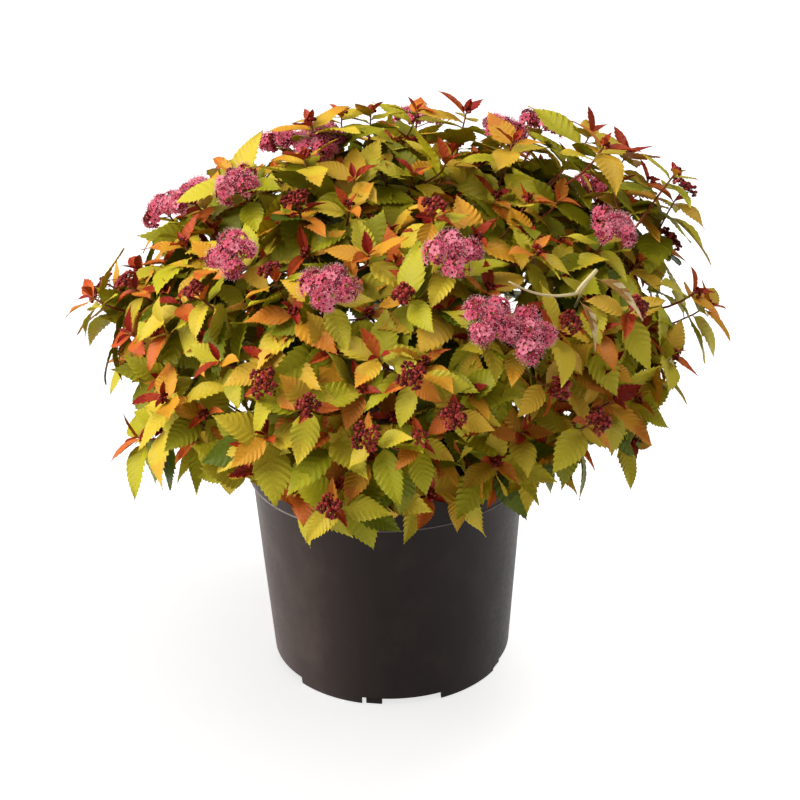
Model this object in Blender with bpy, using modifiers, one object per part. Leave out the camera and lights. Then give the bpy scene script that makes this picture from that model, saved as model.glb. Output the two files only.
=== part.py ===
"""Potted golden spirea: a nursery pot, its compost and a shrub in leaf and flower.

Units are metres with +Z up. The origin is the middle of the pot's underside. The front
of the plant faces -Y and a bearing is counted in degrees from there towards +X.
"""

import math
import random

import bmesh
import bpy
import numpy
from mathutils import Matrix, Vector
from mathutils.bvhtree import BVHTree
from mathutils.geometry import interpolate_bezier

PLANT_NAME = "potted_spirea"
CUTTERS_NAME = "potted_spirea_cutters"
CLEARANCE = 0.0003
MERGE = 0.00001

# Pot: a moulded round container with a collar, a raised floor and a notched foot ring
POT_HEIGHT = 0.190
RIM_RADIUS = 0.1125
COLLAR_HEIGHT = 0.028
COLLAR_FOOT_RADIUS = 0.1095
SHOULDER_RADIUS = 0.1073
FOOT_RADIUS = 0.0957
WALL = 0.002
LIP = 0.0007
FOOT_ROUNDING = 0.0018
FOOT_RING_WIDTH = 0.0048
FLOOR_UNDERSIDE = 0.0060
FLOOR_THICKNESS = 0.0024
CENTRE_PAD_RADIUS = 0.031
CENTRE_PAD_SLOPE = 0.006
POT_STEPS = 35
NOTCH_COUNT = 5
FIRST_NOTCH_BEARING = 4.5
NOTCH_WIDTH = 0.062
NOTCH_HEIGHT = 0.0066
NOTCH_DEPTH = 0.022
NOTCH_BELOW = 0.001
TAB_BEARING_FROM_NOTCH = -13.5
TAB_SIZE = (0.0125, 0.0025, 0.0078)
DRAIN_RADIUS = 0.004
DRAIN_FROM_CENTRE = 0.070
DRAIN_SIDES = 10

# Compost: fills the pot to just under the collar, level round the stem
COMPOST_LEVEL = 0.166
COMPOST_EDGE_LEVEL = 0.158
COMPOST_LEVEL_RADIUS = 0.036

# Stem base: the short woody crown that every bough springs from
STEM_RADIUS = 0.022
STEM_FLARE_RADIUS = 0.026
STEM_MIDDLE_HEIGHT = 0.177
STEM_STEPS = 24
STEM_ARCS = 6

# Crown: an ellipsoid through the tips of the shoots, its top leaning to the right; leaves
# stand out beyond it
CROWN_MIDDLE_HEIGHT = 0.283
CROWN_RADIUS = 0.188
CROWN_TOP_HEIGHT = 0.394
CROWN_DEPTH_BELOW = 0.116
CROWN_LEAN = 0.022
SKIRT_FRONT = -0.62
SKIRT_SIDE = -0.78
SHOOT_COUNT = 86
SHOOT_SPACING = 0.0365
BELT_STEPS = 200
SEARCH_STEPS = 24
NUDGE = 0.001
NUDGES = 40
TIP_JITTER = 0.0006
GOLDEN_ANGLE = math.pi * (3.0 - math.sqrt(5.0))
UP = Vector((0.0, 0.0, 1.0))

# Rings of boughs: name, count, bearing of the first, elevation of the mass, elevation on
# the stem base, share of the way to the crown's outline where the bough ends
RINGS = (
    ("low", 8, -2.0, 15.0, 20.0, 0.62),
    ("middle", 8, 20.5, 41.0, 42.0, 0.46),
    ("upper", 5, 36.0, 66.0, 66.0, 0.46),
    ("top", 1, 0.0, 89.0, 89.0, 0.46),
)
BEARING_JITTER = 4.0
ELEVATION_JITTER = 2.0
HANDLE_AT_ROOT = 0.40
HANDLE_AT_TIP = 0.33
SKYWARD_LIMB = 0.25
BOUGH_RADII = (0.0031, 0.0019)
BOUGH_SIDES = 5
BOUGH_SEGMENTS = 4
MASS_STEM_RADII = (0.0019, 0.0013)
MASS_STEM_SIDES = 4
MASS_STEM_SEGMENTS = 3
MASS_STEM_REACH = 0.80
SHOOT_RADII = (0.0016, 0.0012)
TWIG_SIDES = 3
SHOOT_SEGMENTS = 2
SHOOT_LEAD = 0.9
SHOOT_LEAN = 0.7
SHOOT_FIRST_SHARE = 0.06
SKYWARD_SHOOT = 0.2
SKYWARD_LEAF = 0.9

# Flower heads in bloom and in bud: bearing, height, distance from the pot's axis
BLOOM_RADIUS = 0.020
BUD_RADIUS = 0.013
TIP_RADII = {None: 0.004, "dead": 0.002, "bud": BUD_RADIUS, "bloom": BLOOM_RADIUS}
HEAD_SIDES = 6
HEAD_BELTS = 3
HEAD_FLATNESS = 0.62
HEAD_RISE = 0.7
BLOOMS = (
    (-101, 0.358, 0.162), (-92, 0.376, 0.137), (-75, 0.394, 0.103), (-89, 0.413, 0.041),
    (-42, 0.372, 0.148), (-12, 0.368, 0.162), (18, 0.383, 0.150), (107, 0.413, 0.094),
    (122, 0.405, 0.141), (63, 0.376, 0.175), (21, 0.351, 0.191), (27, 0.341, 0.200),
    (145, 0.366, 0.179), (166, 0.400, 0.114), (-157, 0.382, 0.139), (-130, 0.340, 0.186),
    (126, 0.336, 0.205), (-178, 0.335, 0.196), (-123, 0.402, 0.086),
)
BUDS = (
    (-74, 0.335, 0.187), (-46, 0.353, 0.172), (-37, 0.400, 0.095), (19, 0.403, 0.108),
    (5, 0.326, 0.204), (-13, 0.308, 0.210), (6, 0.286, 0.212), (55, 0.336, 0.207),
    (88, 0.341, 0.207), (40, 0.274, 0.216), (-10, 0.236, 0.207), (110, 0.300, 0.212),
    (165, 0.290, 0.214), (-160, 0.270, 0.213), (-100, 0.300, 0.212),
)
# Sprigs that stand out of the dome: bearing, height, distance from the pot's axis
SPRIGS = (
    (-83, 0.302, 0.198), (80, 0.300, 0.214), (83, 0.384, 0.198), (-85, 0.416, 0.046),
    (-78, 0.386, 0.100), (78, 0.406, 0.090), (80, 0.404, 0.150), (178, 0.300, 0.200),
    (-140, 0.330, 0.196), (136, 0.320, 0.196), (-74, 0.206, 0.170), (72, 0.200, 0.168),
)
# Dead forked twig on the right: bearing, height, distance of its fork and of its two tips
DEAD_FORK = (46, 0.376, 0.200)
DEAD_TIPS = ((36, 0.380, 0.214), (59, 0.337, 0.216))
DEAD_TIP_RADIUS = 0.0007

# Leaves: one station per entry along a shoot, the last ones forming the rosette at its tip
LEAF_LENGTHS = (0.058, 0.074)
LEAF_WIDTH_SHARE = 0.60
LEAF_WIDEST = 0.42
LEAF_THICKNESS_SHARE = 0.034
LEAF_FOLD_SHARE = 0.07
LEAF_DROOP_SHARE = 0.10
LEAF_STATIONS = (0.45, 0.66, 0.80, 0.89, 0.95, 0.99)
LEAF_SPREAD_LOW = 84.0
LEAF_SPREAD_TIP = 30.0
LEAF_SPREAD_UNDER_HEAD = 78.0
LAST_SHARE_UNDER_HEAD = 0.90
LEAF_TRIES = (0, 1, -1, 2, -2, 3, -3, 4, -4, 5, -5, 6, -6)
LEAF_SHRINK_PER_TRY = 0.045
LEAF_LIFT_PER_TRY = 3.0
LEAF_TURN_PER_TRY = 0.42
LEAF_GRAIN = 5
HEAD_GRAIN = 2
SPACE_MARGIN = 0.0008
LIMB_MARGIN = 0.0026
SEED = 41
SEASONS = 6


def direction(bearing, elevation):
    """The unit vector at a bearing from the front and an elevation, in degrees."""
    b, e = math.radians(bearing), math.radians(elevation)
    return Vector((math.sin(b) * math.cos(e), -math.cos(b) * math.cos(e), math.sin(e)))


def place(bearing, height, distance):
    """The point at a bearing, a height and a distance from the pot's axis."""
    return direction(bearing, 0.0) * distance + UP * height


def colour(hex_value):
    """A linear RGBA colour from an sRGB hex string."""
    channels = [int(hex_value[i:i + 2], 16) / 255.0 for i in (1, 3, 5)]
    linear = [c / 12.92 if c < 0.04045 else ((c + 0.055) / 1.055) ** 2.4 for c in channels]
    return (*linear, 1.0)


def material(name, hex_value, roughness):
    """A Principled material, none of them metal."""
    made = bpy.data.materials.new(name)
    made.use_nodes = True
    shader = made.node_tree.nodes["Principled BSDF"]
    shader.inputs["Base Color"].default_value = colour(hex_value)
    shader.inputs["Roughness"].default_value = roughness
    shader.inputs["Metallic"].default_value = 0.0
    return made


def new_collection(name):
    """A collection linked to the scene."""
    made = bpy.data.collections.new(name)
    bpy.context.scene.collection.children.link(made)
    return made


def new_object(name, bm, collection, finish=None):
    """An object from a bmesh, which is freed."""
    mesh = bpy.data.meshes.new(name)
    bm.to_mesh(mesh)
    bm.free()
    made = bpy.data.objects.new(name, mesh)
    collection.objects.link(made)
    if finish is not None:
        mesh.materials.append(finish)
    return made


def settle(made, merge=MERGE):
    """Applies an object's modifiers and, where merge is given, merges its doubles."""
    bpy.context.view_layer.update()
    graph = bpy.context.evaluated_depsgraph_get()
    mesh = bpy.data.meshes.new_from_object(made.evaluated_get(graph))
    made.modifiers.clear()
    made.data = mesh
    bm = bmesh.new()
    bm.from_mesh(mesh)
    if merge:
        bmesh.ops.remove_doubles(bm, verts=bm.verts, dist=merge)
    bm.to_mesh(mesh)
    bm.free()
    return made


def turned(name, profile, steps, collection, finish):
    """A solid turned about Z from a profile of (radius, height) that runs down its outside."""
    bm = bmesh.new()
    points = [bm.verts.new((radius, 0.0, height)) for radius, height in profile]
    for first, second in zip(points, points[1:]):
        bm.edges.new((first, second))
    made = new_object(name, bm, collection, finish)
    screw = made.modifiers.new("turn", "SCREW")
    screw.axis = "Z"
    screw.steps = steps
    screw.render_steps = steps
    screw.use_merge_vertices = True
    screw.merge_threshold = MERGE
    screw.use_smooth_shade = False
    return settle(made)


def wall_radius(height):
    """The outer radius of the pot's body at a height."""
    shoulder_height = POT_HEIGHT - COLLAR_HEIGHT
    return FOOT_RADIUS + (SHOULDER_RADIUS - FOOT_RADIUS) * height / shoulder_height


def pot_profile():
    """The pot's section, from the middle of its floor up, over the rim and back underneath."""
    shoulder = POT_HEIGHT - COLLAR_HEIGHT
    floor_top = FLOOR_UNDERSIDE + FLOOR_THICKNESS
    pad_edge = CENTRE_PAD_RADIUS + CENTRE_PAD_SLOPE
    inner_ring = FOOT_RADIUS - FOOT_RING_WIDTH
    inside = [
        (0.0, FLOOR_THICKNESS),
        (CENTRE_PAD_RADIUS - LIP, FLOOR_THICKNESS),
        (pad_edge - LIP, floor_top),
        (wall_radius(floor_top) - WALL, floor_top),
        (wall_radius(shoulder) - WALL, shoulder),
        (COLLAR_FOOT_RADIUS - WALL, shoulder + WALL),
        (RIM_RADIUS - WALL, POT_HEIGHT - LIP),
        (RIM_RADIUS - WALL + LIP, POT_HEIGHT),
    ]
    outside = [
        (RIM_RADIUS - LIP, POT_HEIGHT),
        (RIM_RADIUS, POT_HEIGHT - LIP),
        (COLLAR_FOOT_RADIUS, shoulder + LIP),
        (COLLAR_FOOT_RADIUS - LIP, shoulder),
        (SHOULDER_RADIUS, shoulder),
    ]
    rounding = []
    for angle in (0.0, 45.0, 90.0):
        turn = math.radians(angle)
        radius = wall_radius(FOOT_ROUNDING) - FOOT_ROUNDING * (1.0 - math.cos(turn))
        rounding.append((radius, FOOT_ROUNDING * (1.0 - math.sin(turn))))
    underside = [
        (inner_ring, 0.0),
        (inner_ring, FLOOR_UNDERSIDE),
        (pad_edge, FLOOR_UNDERSIDE),
        (CENTRE_PAD_RADIUS, 0.0),
        (0.0, 0.0),
    ]
    return inside + outside + rounding + underside


def box(name, size, centre, bearing, collection):
    """A box as wide, deep and high as size, turned to face a bearing."""
    bm = bmesh.new()
    bmesh.ops.create_cube(bm, size=1.0)
    bmesh.ops.scale(bm, vec=Vector(size), verts=bm.verts)
    made = new_object(name, bm, collection)
    made.location = centre
    made.rotation_euler.z = math.radians(bearing)
    return made


def guide(made):
    """Marks an object as a cutter."""
    made.hide_render = True
    made.display_type = "WIRE"
    return made


def boolean(made, operand, operation):
    """Adds a Boolean with one object, or with every object of a collection."""
    modifier = made.modifiers.new(operation.lower(), "BOOLEAN")
    modifier.operation = operation
    if isinstance(operand, bpy.types.Collection):
        modifier.operand_type = "COLLECTION"
        modifier.collection = operand
    else:
        modifier.object = operand
    return modifier


def make_pot(collection, cutters, finish):
    """The pot, with its notches, drain holes and small feet inside the notches."""
    pot = turned("pot", pot_profile(), POT_STEPS, collection, finish)
    notch_middle = FOOT_RADIUS - FOOT_RING_WIDTH / 2.0
    feet = new_collection("pot_feet")
    for number in range(NOTCH_COUNT):
        bearing = FIRST_NOTCH_BEARING + 360.0 / NOTCH_COUNT * number
        middle = direction(bearing, 0.0) * notch_middle
        middle.z = (NOTCH_HEIGHT - NOTCH_BELOW) / 2.0
        size = (NOTCH_WIDTH, NOTCH_DEPTH, NOTCH_HEIGHT + NOTCH_BELOW)
        guide(box(f"notch_{number + 1}", size, middle, bearing, cutters))
        drain = bmesh.new()
        bmesh.ops.create_cone(
            drain, cap_ends=True, segments=DRAIN_SIDES, radius1=DRAIN_RADIUS,
            radius2=DRAIN_RADIUS, depth=FLOOR_UNDERSIDE * 2.0,
            matrix=Matrix.Translation(place(bearing, FLOOR_UNDERSIDE, DRAIN_FROM_CENTRE)),
        )
        guide(new_object(f"drain_{number + 1}", drain, cutters))
        foot_bearing = bearing + TAB_BEARING_FROM_NOTCH
        foot_distance = FOOT_RADIUS - WALL - TAB_SIZE[1] / 2.0
        foot_middle = place(foot_bearing, TAB_SIZE[2] / 2.0, foot_distance)
        box(f"foot_{number + 1}", TAB_SIZE, foot_middle, foot_bearing, feet)
    boolean(pot, cutters, "DIFFERENCE")
    settle(pot)
    boolean(pot, feet, "UNION")
    settle(pot)
    drop(feet)
    return pot


def drop(collection):
    """Removes a collection and its objects."""
    for member in list(collection.objects):
        bpy.data.objects.remove(member)
    bpy.data.collections.remove(collection)


def make_compost(collection, finish):
    """The compost, which fills the pot down to its floor."""
    floor_top = FLOOR_UNDERSIDE + FLOOR_THICKNESS + CLEARANCE
    pad = CENTRE_PAD_RADIUS - LIP - CLEARANCE
    profile = [
        (0.0, COMPOST_LEVEL),
        (COMPOST_LEVEL_RADIUS, COMPOST_LEVEL),
        (COMPOST_LEVEL_RADIUS * 2.0, (COMPOST_LEVEL + COMPOST_EDGE_LEVEL) / 2.0),
        (wall_radius(COMPOST_EDGE_LEVEL) - WALL - CLEARANCE, COMPOST_EDGE_LEVEL),
        (wall_radius(floor_top) - WALL - CLEARANCE, floor_top),
        (pad + CENTRE_PAD_SLOPE, floor_top),
        (pad, FLOOR_THICKNESS + CLEARANCE),
        (0.0, FLOOR_THICKNESS + CLEARANCE),
    ]
    return turned("compost", profile, POT_STEPS, collection, finish)


def make_stem_base(collection, finish):
    """The stem's woody base, from its flat cut on the compost to its domed top."""
    foot = COMPOST_LEVEL + CLEARANCE
    profile = []
    for arc in range(STEM_ARCS + 1):
        turn = math.radians(90.0 / STEM_ARCS * arc)
        profile.append((STEM_RADIUS * math.sin(turn),
                        STEM_MIDDLE_HEIGHT + STEM_RADIUS * math.cos(turn)))
    profile += [(STEM_FLARE_RADIUS, foot), (0.0, foot)]
    return turned("stem_base", profile, STEM_STEPS, collection, finish)


def stations(path, radii):
    """A matrix at each point of a path: +Z along the path, scaled to the limb's radius."""
    last = len(path) - 1
    ahead = [(path[min(k + 1, last)] - path[max(k - 1, 0)]).normalized() for k in range(last + 1)]
    turn = UP.rotation_difference(ahead[0])
    made = []
    for k, point in enumerate(path):
        if k:
            turn = ahead[k - 1].rotation_difference(ahead[k]) @ turn
        radius = radii[0] + (radii[1] - radii[0]) * k / last
        made.append(Matrix.LocRotScale(point, turn, Vector((radius, radius, radius))))
    return made


def limb(path, radii, sides):
    """A closed tapering limb along a path, extruded ring by ring from a cone primitive."""
    bm = bmesh.new()
    rings = stations(path, radii)
    bmesh.ops.create_cone(bm, cap_ends=True, segments=sides, radius1=1.0, radius2=1.0, depth=2.0)
    lower = [v for v in bm.verts if v.co.z < 0.0]
    upper = [v for v in bm.verts if v.co.z > 0.0]
    bmesh.ops.transform(bm, matrix=rings[0] @ Matrix.Translation((0.0, 0.0, 1.0)), verts=lower)
    bmesh.ops.transform(bm, matrix=rings[1] @ Matrix.Translation((0.0, 0.0, -1.0)), verts=upper)
    end = next(f for f in bm.faces if all(v in upper for v in f.verts))
    for here, following in zip(rings[1:], rings[2:]):
        grown = bmesh.ops.extrude_discrete_faces(bm, faces=[end])["faces"]
        end = grown[0]
        bmesh.ops.transform(bm, matrix=following @ here.inverted(), verts=end.verts)
    return bm


def crown_radius(height):
    """The crown's radius at a height, on the ellipsoid through the shoots' tips."""
    rise = height - CROWN_MIDDLE_HEIGHT
    half = CROWN_TOP_HEIGHT - CROWN_MIDDLE_HEIGHT if rise > 0.0 else CROWN_DEPTH_BELOW
    return CROWN_RADIUS * math.sqrt(max(0.0, 1.0 - (rise / half) ** 2))


def crown_lean(height):
    """How far the crown's axis has moved towards +X at a height."""
    rise = max(0.0, height - CROWN_MIDDLE_HEIGHT)
    return CROWN_LEAN * rise / (CROWN_TOP_HEIGHT - CROWN_MIDDLE_HEIGHT)


def crown_reach(heading):
    """The distance from the stem's middle to the crown's ellipsoid along a heading."""
    start = UP * STEM_MIDDLE_HEIGHT
    near, far = 0.0, CROWN_RADIUS * 2.0
    for _ in range(SEARCH_STEPS):
        middle = (near + far) / 2.0
        point = start + heading * middle
        inside = math.hypot(point.x, point.y) < crown_radius(point.z)
        near, far = (middle, far) if inside else (near, middle)
    return near


def arched(start, leave, end, arrive, segments):
    """Points along an arch that leaves its start and reaches its end on given headings."""
    span = (end - start).length
    return interpolate_bezier(
        start, start + leave * span * HANDLE_AT_ROOT, end - arrive * span * HANDLE_AT_TIP,
        end, segments + 1,
    )


class Mass:
    """One bough and the mass of foliage that it carries."""

    def __init__(self, ring, number, total, rng):
        """Settles the bough's ends and the mass's own stem."""
        name, _, first, elevation, seat, share = ring
        self.name = name if total == 1 else f"{name}_{number + 1}"
        sway = rng.uniform(-BEARING_JITTER, BEARING_JITTER)
        lift = rng.uniform(-ELEVATION_JITTER, ELEVATION_JITTER)
        bearing = first + 360.0 / total * number + sway
        self.heading = direction(bearing, elevation + lift)
        self.seat = direction(bearing, seat)
        self.reach = crown_reach(self.heading)
        middle = UP * STEM_MIDDLE_HEIGHT
        root = middle + self.seat * (STEM_RADIUS + CLEARANCE)
        self.tip = middle + self.heading * self.reach * share
        arrive = (self.heading + UP * SKYWARD_LIMB).normalized()
        self.bough = arched(root, self.seat, self.tip, arrive, BOUGH_SEGMENTS)
        start = self.tip + arrive * CLEARANCE
        end = middle + self.heading * self.reach * MASS_STEM_REACH
        self.stem = arched(start, arrive, end, self.heading, MASS_STEM_SEGMENTS)
        self.targets = []


def make_masses():
    """Every mass with its bough, ring by ring."""
    rng = random.Random(SEED)
    return [
        Mass(ring, number, ring[1], rng) for ring in RINGS for number in range(ring[1])
    ]


class Space:
    """The space of each mass: a cone from the stem's middle, clear of limbs and of the pot."""

    def __init__(self, masses):
        """Keeps the headings of the cones and the segments of every bough."""
        self.headings = numpy.array([tuple(mass.heading) for mass in masses])
        starts, ends = [], []
        for mass in masses:
            starts += [tuple(p) for p in mass.bough[:-1]]
            ends += [tuple(p) for p in mass.bough[1:]]
        self.starts = numpy.array(starts)
        self.ends = numpy.array(ends)

    def owner(self, point):
        """The mass whose cone holds a point."""
        away = numpy.array(tuple(point)) - (0.0, 0.0, STEM_MIDDLE_HEIGHT)
        return int(numpy.argmax(self.headings @ away))

    def holds(self, points, index, margin=SPACE_MARGIN):
        """Whether all points lie in a mass's own cone."""
        away = points - (0.0, 0.0, STEM_MIDDLE_HEIGHT)
        steps = self.headings[index] - numpy.delete(self.headings, index, axis=0)
        steps /= numpy.linalg.norm(steps, axis=1)[:, None]
        return bool((away @ steps.T >= margin).all())

    def clear(self, points):
        """Whether all points are clear of the boughs and the pot."""
        along = self.ends - self.starts
        offset = points[:, None, :] - self.starts[None, :, :]
        share = numpy.clip((offset * along).sum(2) / (along ** 2).sum(1), 0.0, 1.0)
        gap = numpy.linalg.norm(offset - share[:, :, None] * along, axis=2)
        if gap.min() < BOUGH_RADII[0] + LIMB_MARGIN:
            return False
        radius = numpy.hypot(points[:, 0], points[:, 1])
        within = (radius < RIM_RADIUS + LIMB_MARGIN) & (points[:, 2] < POT_HEIGHT + LIMB_MARGIN)
        return not bool(within.any())


def crown_belts(lowest):
    """Heights and radii down the ellipsoid, with the crown's area above each of them."""
    belts = []
    area = 0.0
    for step in range(BELT_STEPS + 1):
        sine = 1.0 - (1.0 - lowest) * step / BELT_STEPS
        half = CROWN_TOP_HEIGHT - CROWN_MIDDLE_HEIGHT if sine > 0.0 else CROWN_DEPTH_BELOW
        height = CROWN_MIDDLE_HEIGHT + half * sine
        radius = crown_radius(height)
        if belts:
            slope = math.hypot(radius - belts[-1][1], height - belts[-1][0])
            area += slope * (radius + belts[-1][1]) / 2.0
        belts.append((height, radius, area, sine))
    return belts


def shoot_targets():
    """Where shoots end: sprigs, flower heads, then an even spread over the rest of the crown."""
    chosen = [(place(*sprig), None) for sprig in SPRIGS]
    for kind, heads in (("bloom", BLOOMS), ("bud", BUDS)):
        chosen += [(place(*spot), kind) for spot in heads]
    belts = crown_belts(SKIRT_SIDE)
    for number in range(SHOOT_COUNT):
        wanted = belts[-1][2] * (number + 0.5) / SHOOT_COUNT
        height, radius, _, sine = next(belt for belt in belts if belt[2] >= wanted)
        turn = GOLDEN_ANGLE * number
        if sine < SKIRT_SIDE + (SKIRT_FRONT - SKIRT_SIDE) * max(0.0, math.cos(turn)):
            continue
        point = place(math.degrees(turn), height, radius)
        point.x += crown_lean(height)
        if all((point - other).length > SHOOT_SPACING for other, _ in chosen):
            chosen.append((point, None))
    return chosen


def leaf(base, heading, up, length):
    """A folded leaf of eight faces, its root at base and its upper side towards up."""
    bm = bmesh.new()
    bmesh.ops.create_uvsphere(bm, u_segments=4, v_segments=2, radius=1.0)
    width, thickness = length * LEAF_WIDTH_SHARE, length * LEAF_THICKNESS_SHARE
    side = up.cross(heading).normalized()
    top = heading.cross(side).normalized()
    for vert in bm.verts:
        across, through, along = vert.co
        if abs(along) < 0.5:
            lift = LEAF_FOLD_SHARE * abs(across) * length
            share = LEAF_WIDEST
        else:
            lift = -LEAF_DROOP_SHARE * length if along > 0.0 else 0.0
            share = 1.0 if along > 0.0 else 0.0
        vert.co = (
            base + heading * share * length + side * across * width / 2.0
            + top * (through * thickness / 2.0 + lift)
        )
    return bm


def samples(bm, grain=LEAF_GRAIN):
    """Points spread over every face of a small mesh."""
    bmesh.ops.triangulate(bm, faces=bm.faces)
    shares = [
        (i / grain, j / grain, 1.0 - (i + j) / grain)
        for i in range(grain + 1) for j in range(grain + 1 - i)
    ]
    corners = numpy.array([[tuple(v.co) for v in f.verts] for f in bm.faces])
    return numpy.einsum("sk,fkc->fsc", numpy.array(shares), corners).reshape(-1, 3)


def head(tip, axis, radius):
    """A low domed flower head, its underside sunk on the tip of its shoot."""
    bm = bmesh.new()
    bmesh.ops.create_uvsphere(
        bm, u_segments=HEAD_SIDES, v_segments=HEAD_BELTS, radius=radius
    )
    turn = UP.rotation_difference(axis)
    centre = tip + axis * radius * HEAD_FLATNESS * HEAD_RISE
    flat = Matrix.Diagonal((1.0, 1.0, HEAD_FLATNESS, 1.0))
    bmesh.ops.transform(bm, matrix=Matrix.LocRotScale(centre, turn, None) @ flat, verts=bm.verts)
    return bm


def into_space(point, index, space, radius):
    """A target moved towards the middle of its own cone until a head of a radius fits."""
    middle = UP * STEM_MIDDLE_HEIGHT
    heading = Vector(space.headings[index])
    for _ in range(NUDGES):
        if space.holds(numpy.array([tuple(point)]), index, radius + SPACE_MARGIN):
            break
        axis_point = middle + heading * (point - middle).dot(heading)
        point = point + (axis_point - point).normalized() * NUDGE
    return point


def shoot_path(mass, target):
    """A shoot that leaves the mass's stem at a slant and turns up towards its target."""
    start, end = mass.stem[0], mass.stem[-1]
    axis = (end - start).normalized()
    length = (end - start).length
    ahead = (target - start).dot(axis)
    aside = (target - start - axis * ahead).length
    share = min(1.0, max(SHOOT_FIRST_SHARE, (ahead - aside * SHOOT_LEAD) / length))
    position = share * MASS_STEM_SEGMENTS
    piece = min(int(position), MASS_STEM_SEGMENTS - 1)
    root = mass.stem[piece].lerp(mass.stem[piece + 1], position - piece)
    leave = ((target - root).normalized() + axis * SHOOT_LEAN).normalized()
    outward = (target - UP * (CROWN_MIDDLE_HEIGHT - CROWN_DEPTH_BELOW)).normalized()
    arrive = (outward + UP * SKYWARD_SHOOT).normalized()
    return arched(root, leave, target, arrive, SHOOT_SEGMENTS)


def along_path(path, share):
    """The point and the heading at a share of a path's length."""
    position = share * (len(path) - 1)
    piece = min(int(position), len(path) - 2)
    return path[piece].lerp(path[piece + 1], position - piece), path[piece + 1] - path[piece]


def grow_leaves(path, index, space, rng, twigs, limbs, leaves, headed):
    """Leaves in a spiral along one shoot, each tried again before it is skipped."""
    turn = rng.uniform(0.0, math.tau)
    for share in reversed(LEAF_STATIONS):
        turn += GOLDEN_ANGLE
        if headed:
            share *= LAST_SHARE_UNDER_HEAD
        length = rng.uniform(*LEAF_LENGTHS)
        base, ahead = along_path(path, share)
        ahead.normalize()
        spread = LEAF_SPREAD_LOW + (LEAF_SPREAD_TIP - LEAF_SPREAD_LOW) * share ** 3
        if headed:
            spread = LEAF_SPREAD_UNDER_HEAD
        sky = (ahead + UP * SKYWARD_LEAF).normalized()
        for attempt in LEAF_TRIES:
            size = length * (1.0 - LEAF_SHRINK_PER_TRY * abs(attempt))
            slant = math.radians(spread - LEAF_LIFT_PER_TRY * abs(attempt))
            side = ahead.orthogonal().normalized()
            side.rotate(Matrix.Rotation(turn + LEAF_TURN_PER_TRY * attempt, 3, ahead))
            heading = (ahead * math.cos(slant) + side * math.sin(slant)).normalized()
            made = leaf(base, heading, sky, size)
            points = samples(made)
            tree = BVHTree.FromBMesh(made)
            free = not any(tree.overlap(other) for other in limbs + leaves)
            if free and space.holds(points, index) and space.clear(points):
                new_object("leaf", made, twigs)
                leaves.append(tree)
                break
            made.free()


def islands(bm):
    """The connected pieces of a mesh, each as a set of faces."""
    left = set(bm.faces)
    pieces = []
    while left:
        stack = [left.pop()]
        piece = set(stack)
        while stack:
            for edge in stack.pop().edges:
                for face in edge.link_faces:
                    if face in left:
                        left.remove(face)
                        piece.add(face)
                        stack.append(face)
        pieces.append(piece)
    return pieces


def keep_main_body(mesh):
    """Fills sealed hollows, drops loose scraps, and tells whether one closed body is left."""
    bm = bmesh.new()
    bm.from_mesh(mesh)
    pieces = islands(bm)
    main = max(pieces, key=len)
    spare = [face for piece in pieces if piece is not main for face in piece]
    bmesh.ops.delete(bm, geom=spare, context="FACES")
    bmesh.ops.triangulate(bm, faces=bm.faces)
    closed = all(edge.is_manifold for edge in bm.edges) and len(islands(bm)) == 1
    bm.to_mesh(mesh)
    bm.free()
    return closed


def make_bough(mass, collection, finish):
    """One bough, cut flat at both ends."""
    return new_object(
        f"bough_{mass.name}", limb(mass.bough, BOUGH_RADII, BOUGH_SIDES), collection, finish
    )


def grow_mass(mass, index, space, rng, collection, finish):
    """A mass grown once: its body, how many leaves it has, and whether it is one closed body."""
    twigs = new_collection(f"twigs_{mass.name}")
    body = new_object(
        f"foliage_{mass.name}", limb(mass.stem, MASS_STEM_RADII, MASS_STEM_SIDES), collection, finish
    )
    shoots = []
    heads = [BVHTree.FromBMesh(limb(mass.stem, MASS_STEM_RADII, MASS_STEM_SIDES))]
    for target, kind in mass.targets:
        radius = TIP_RADII[kind]
        target = into_space(target, index, space, radius)
        target = target + Vector([rng.uniform(-TIP_JITTER, TIP_JITTER) for _ in range(3)])
        path = shoot_path(mass, target)
        made = limb(path, SHOOT_RADII, TWIG_SIDES)
        shoots.append((path, kind, BVHTree.FromBMesh(made)))
        new_object("shoot", made, twigs)
        if kind == "dead":
            for tip in DEAD_TIPS:
                arm = limb([target, into_space(place(*tip), index, space, radius)],
                           (SHOOT_RADII[1], DEAD_TIP_RADIUS), TWIG_SIDES)
                heads.append(BVHTree.FromBMesh(arm))
                new_object("arm", arm, twigs)
        if kind in ("bud", "bloom"):
            made = head(target, (path[-1] - path[-2]).normalized(), radius)
            if space.holds(samples(made, HEAD_GRAIN), index):
                heads.append(BVHTree.FromBMesh(made))
                new_object("head", made, twigs)
            else:
                made.free()
    leaves = []
    for path, kind, own in shoots:
        if kind != "dead":
            limbs = heads + [tree for _, _, tree in shoots if tree is not own]
            grow_leaves(path, index, space, rng, twigs, limbs, leaves, kind is not None)
    boolean(body, twigs, "UNION").solver = "MANIFOLD"
    settle(body, None)
    drop(twigs)
    return body, len(leaves), keep_main_body(body.data)


def make_mass(mass, index, space, collection, finish):
    """One mass of foliage, grown again from the next seed until its union is one closed body."""
    for season in range(SEASONS):
        rng = random.Random(SEED + 100 * (season + 1) + index)
        body, leaves, closed = grow_mass(mass, index, space, rng, collection, finish)
        if closed:
            return leaves
        bpy.data.objects.remove(body)
    raise RuntimeError(f"{mass.name} never came out as one closed body")


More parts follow.
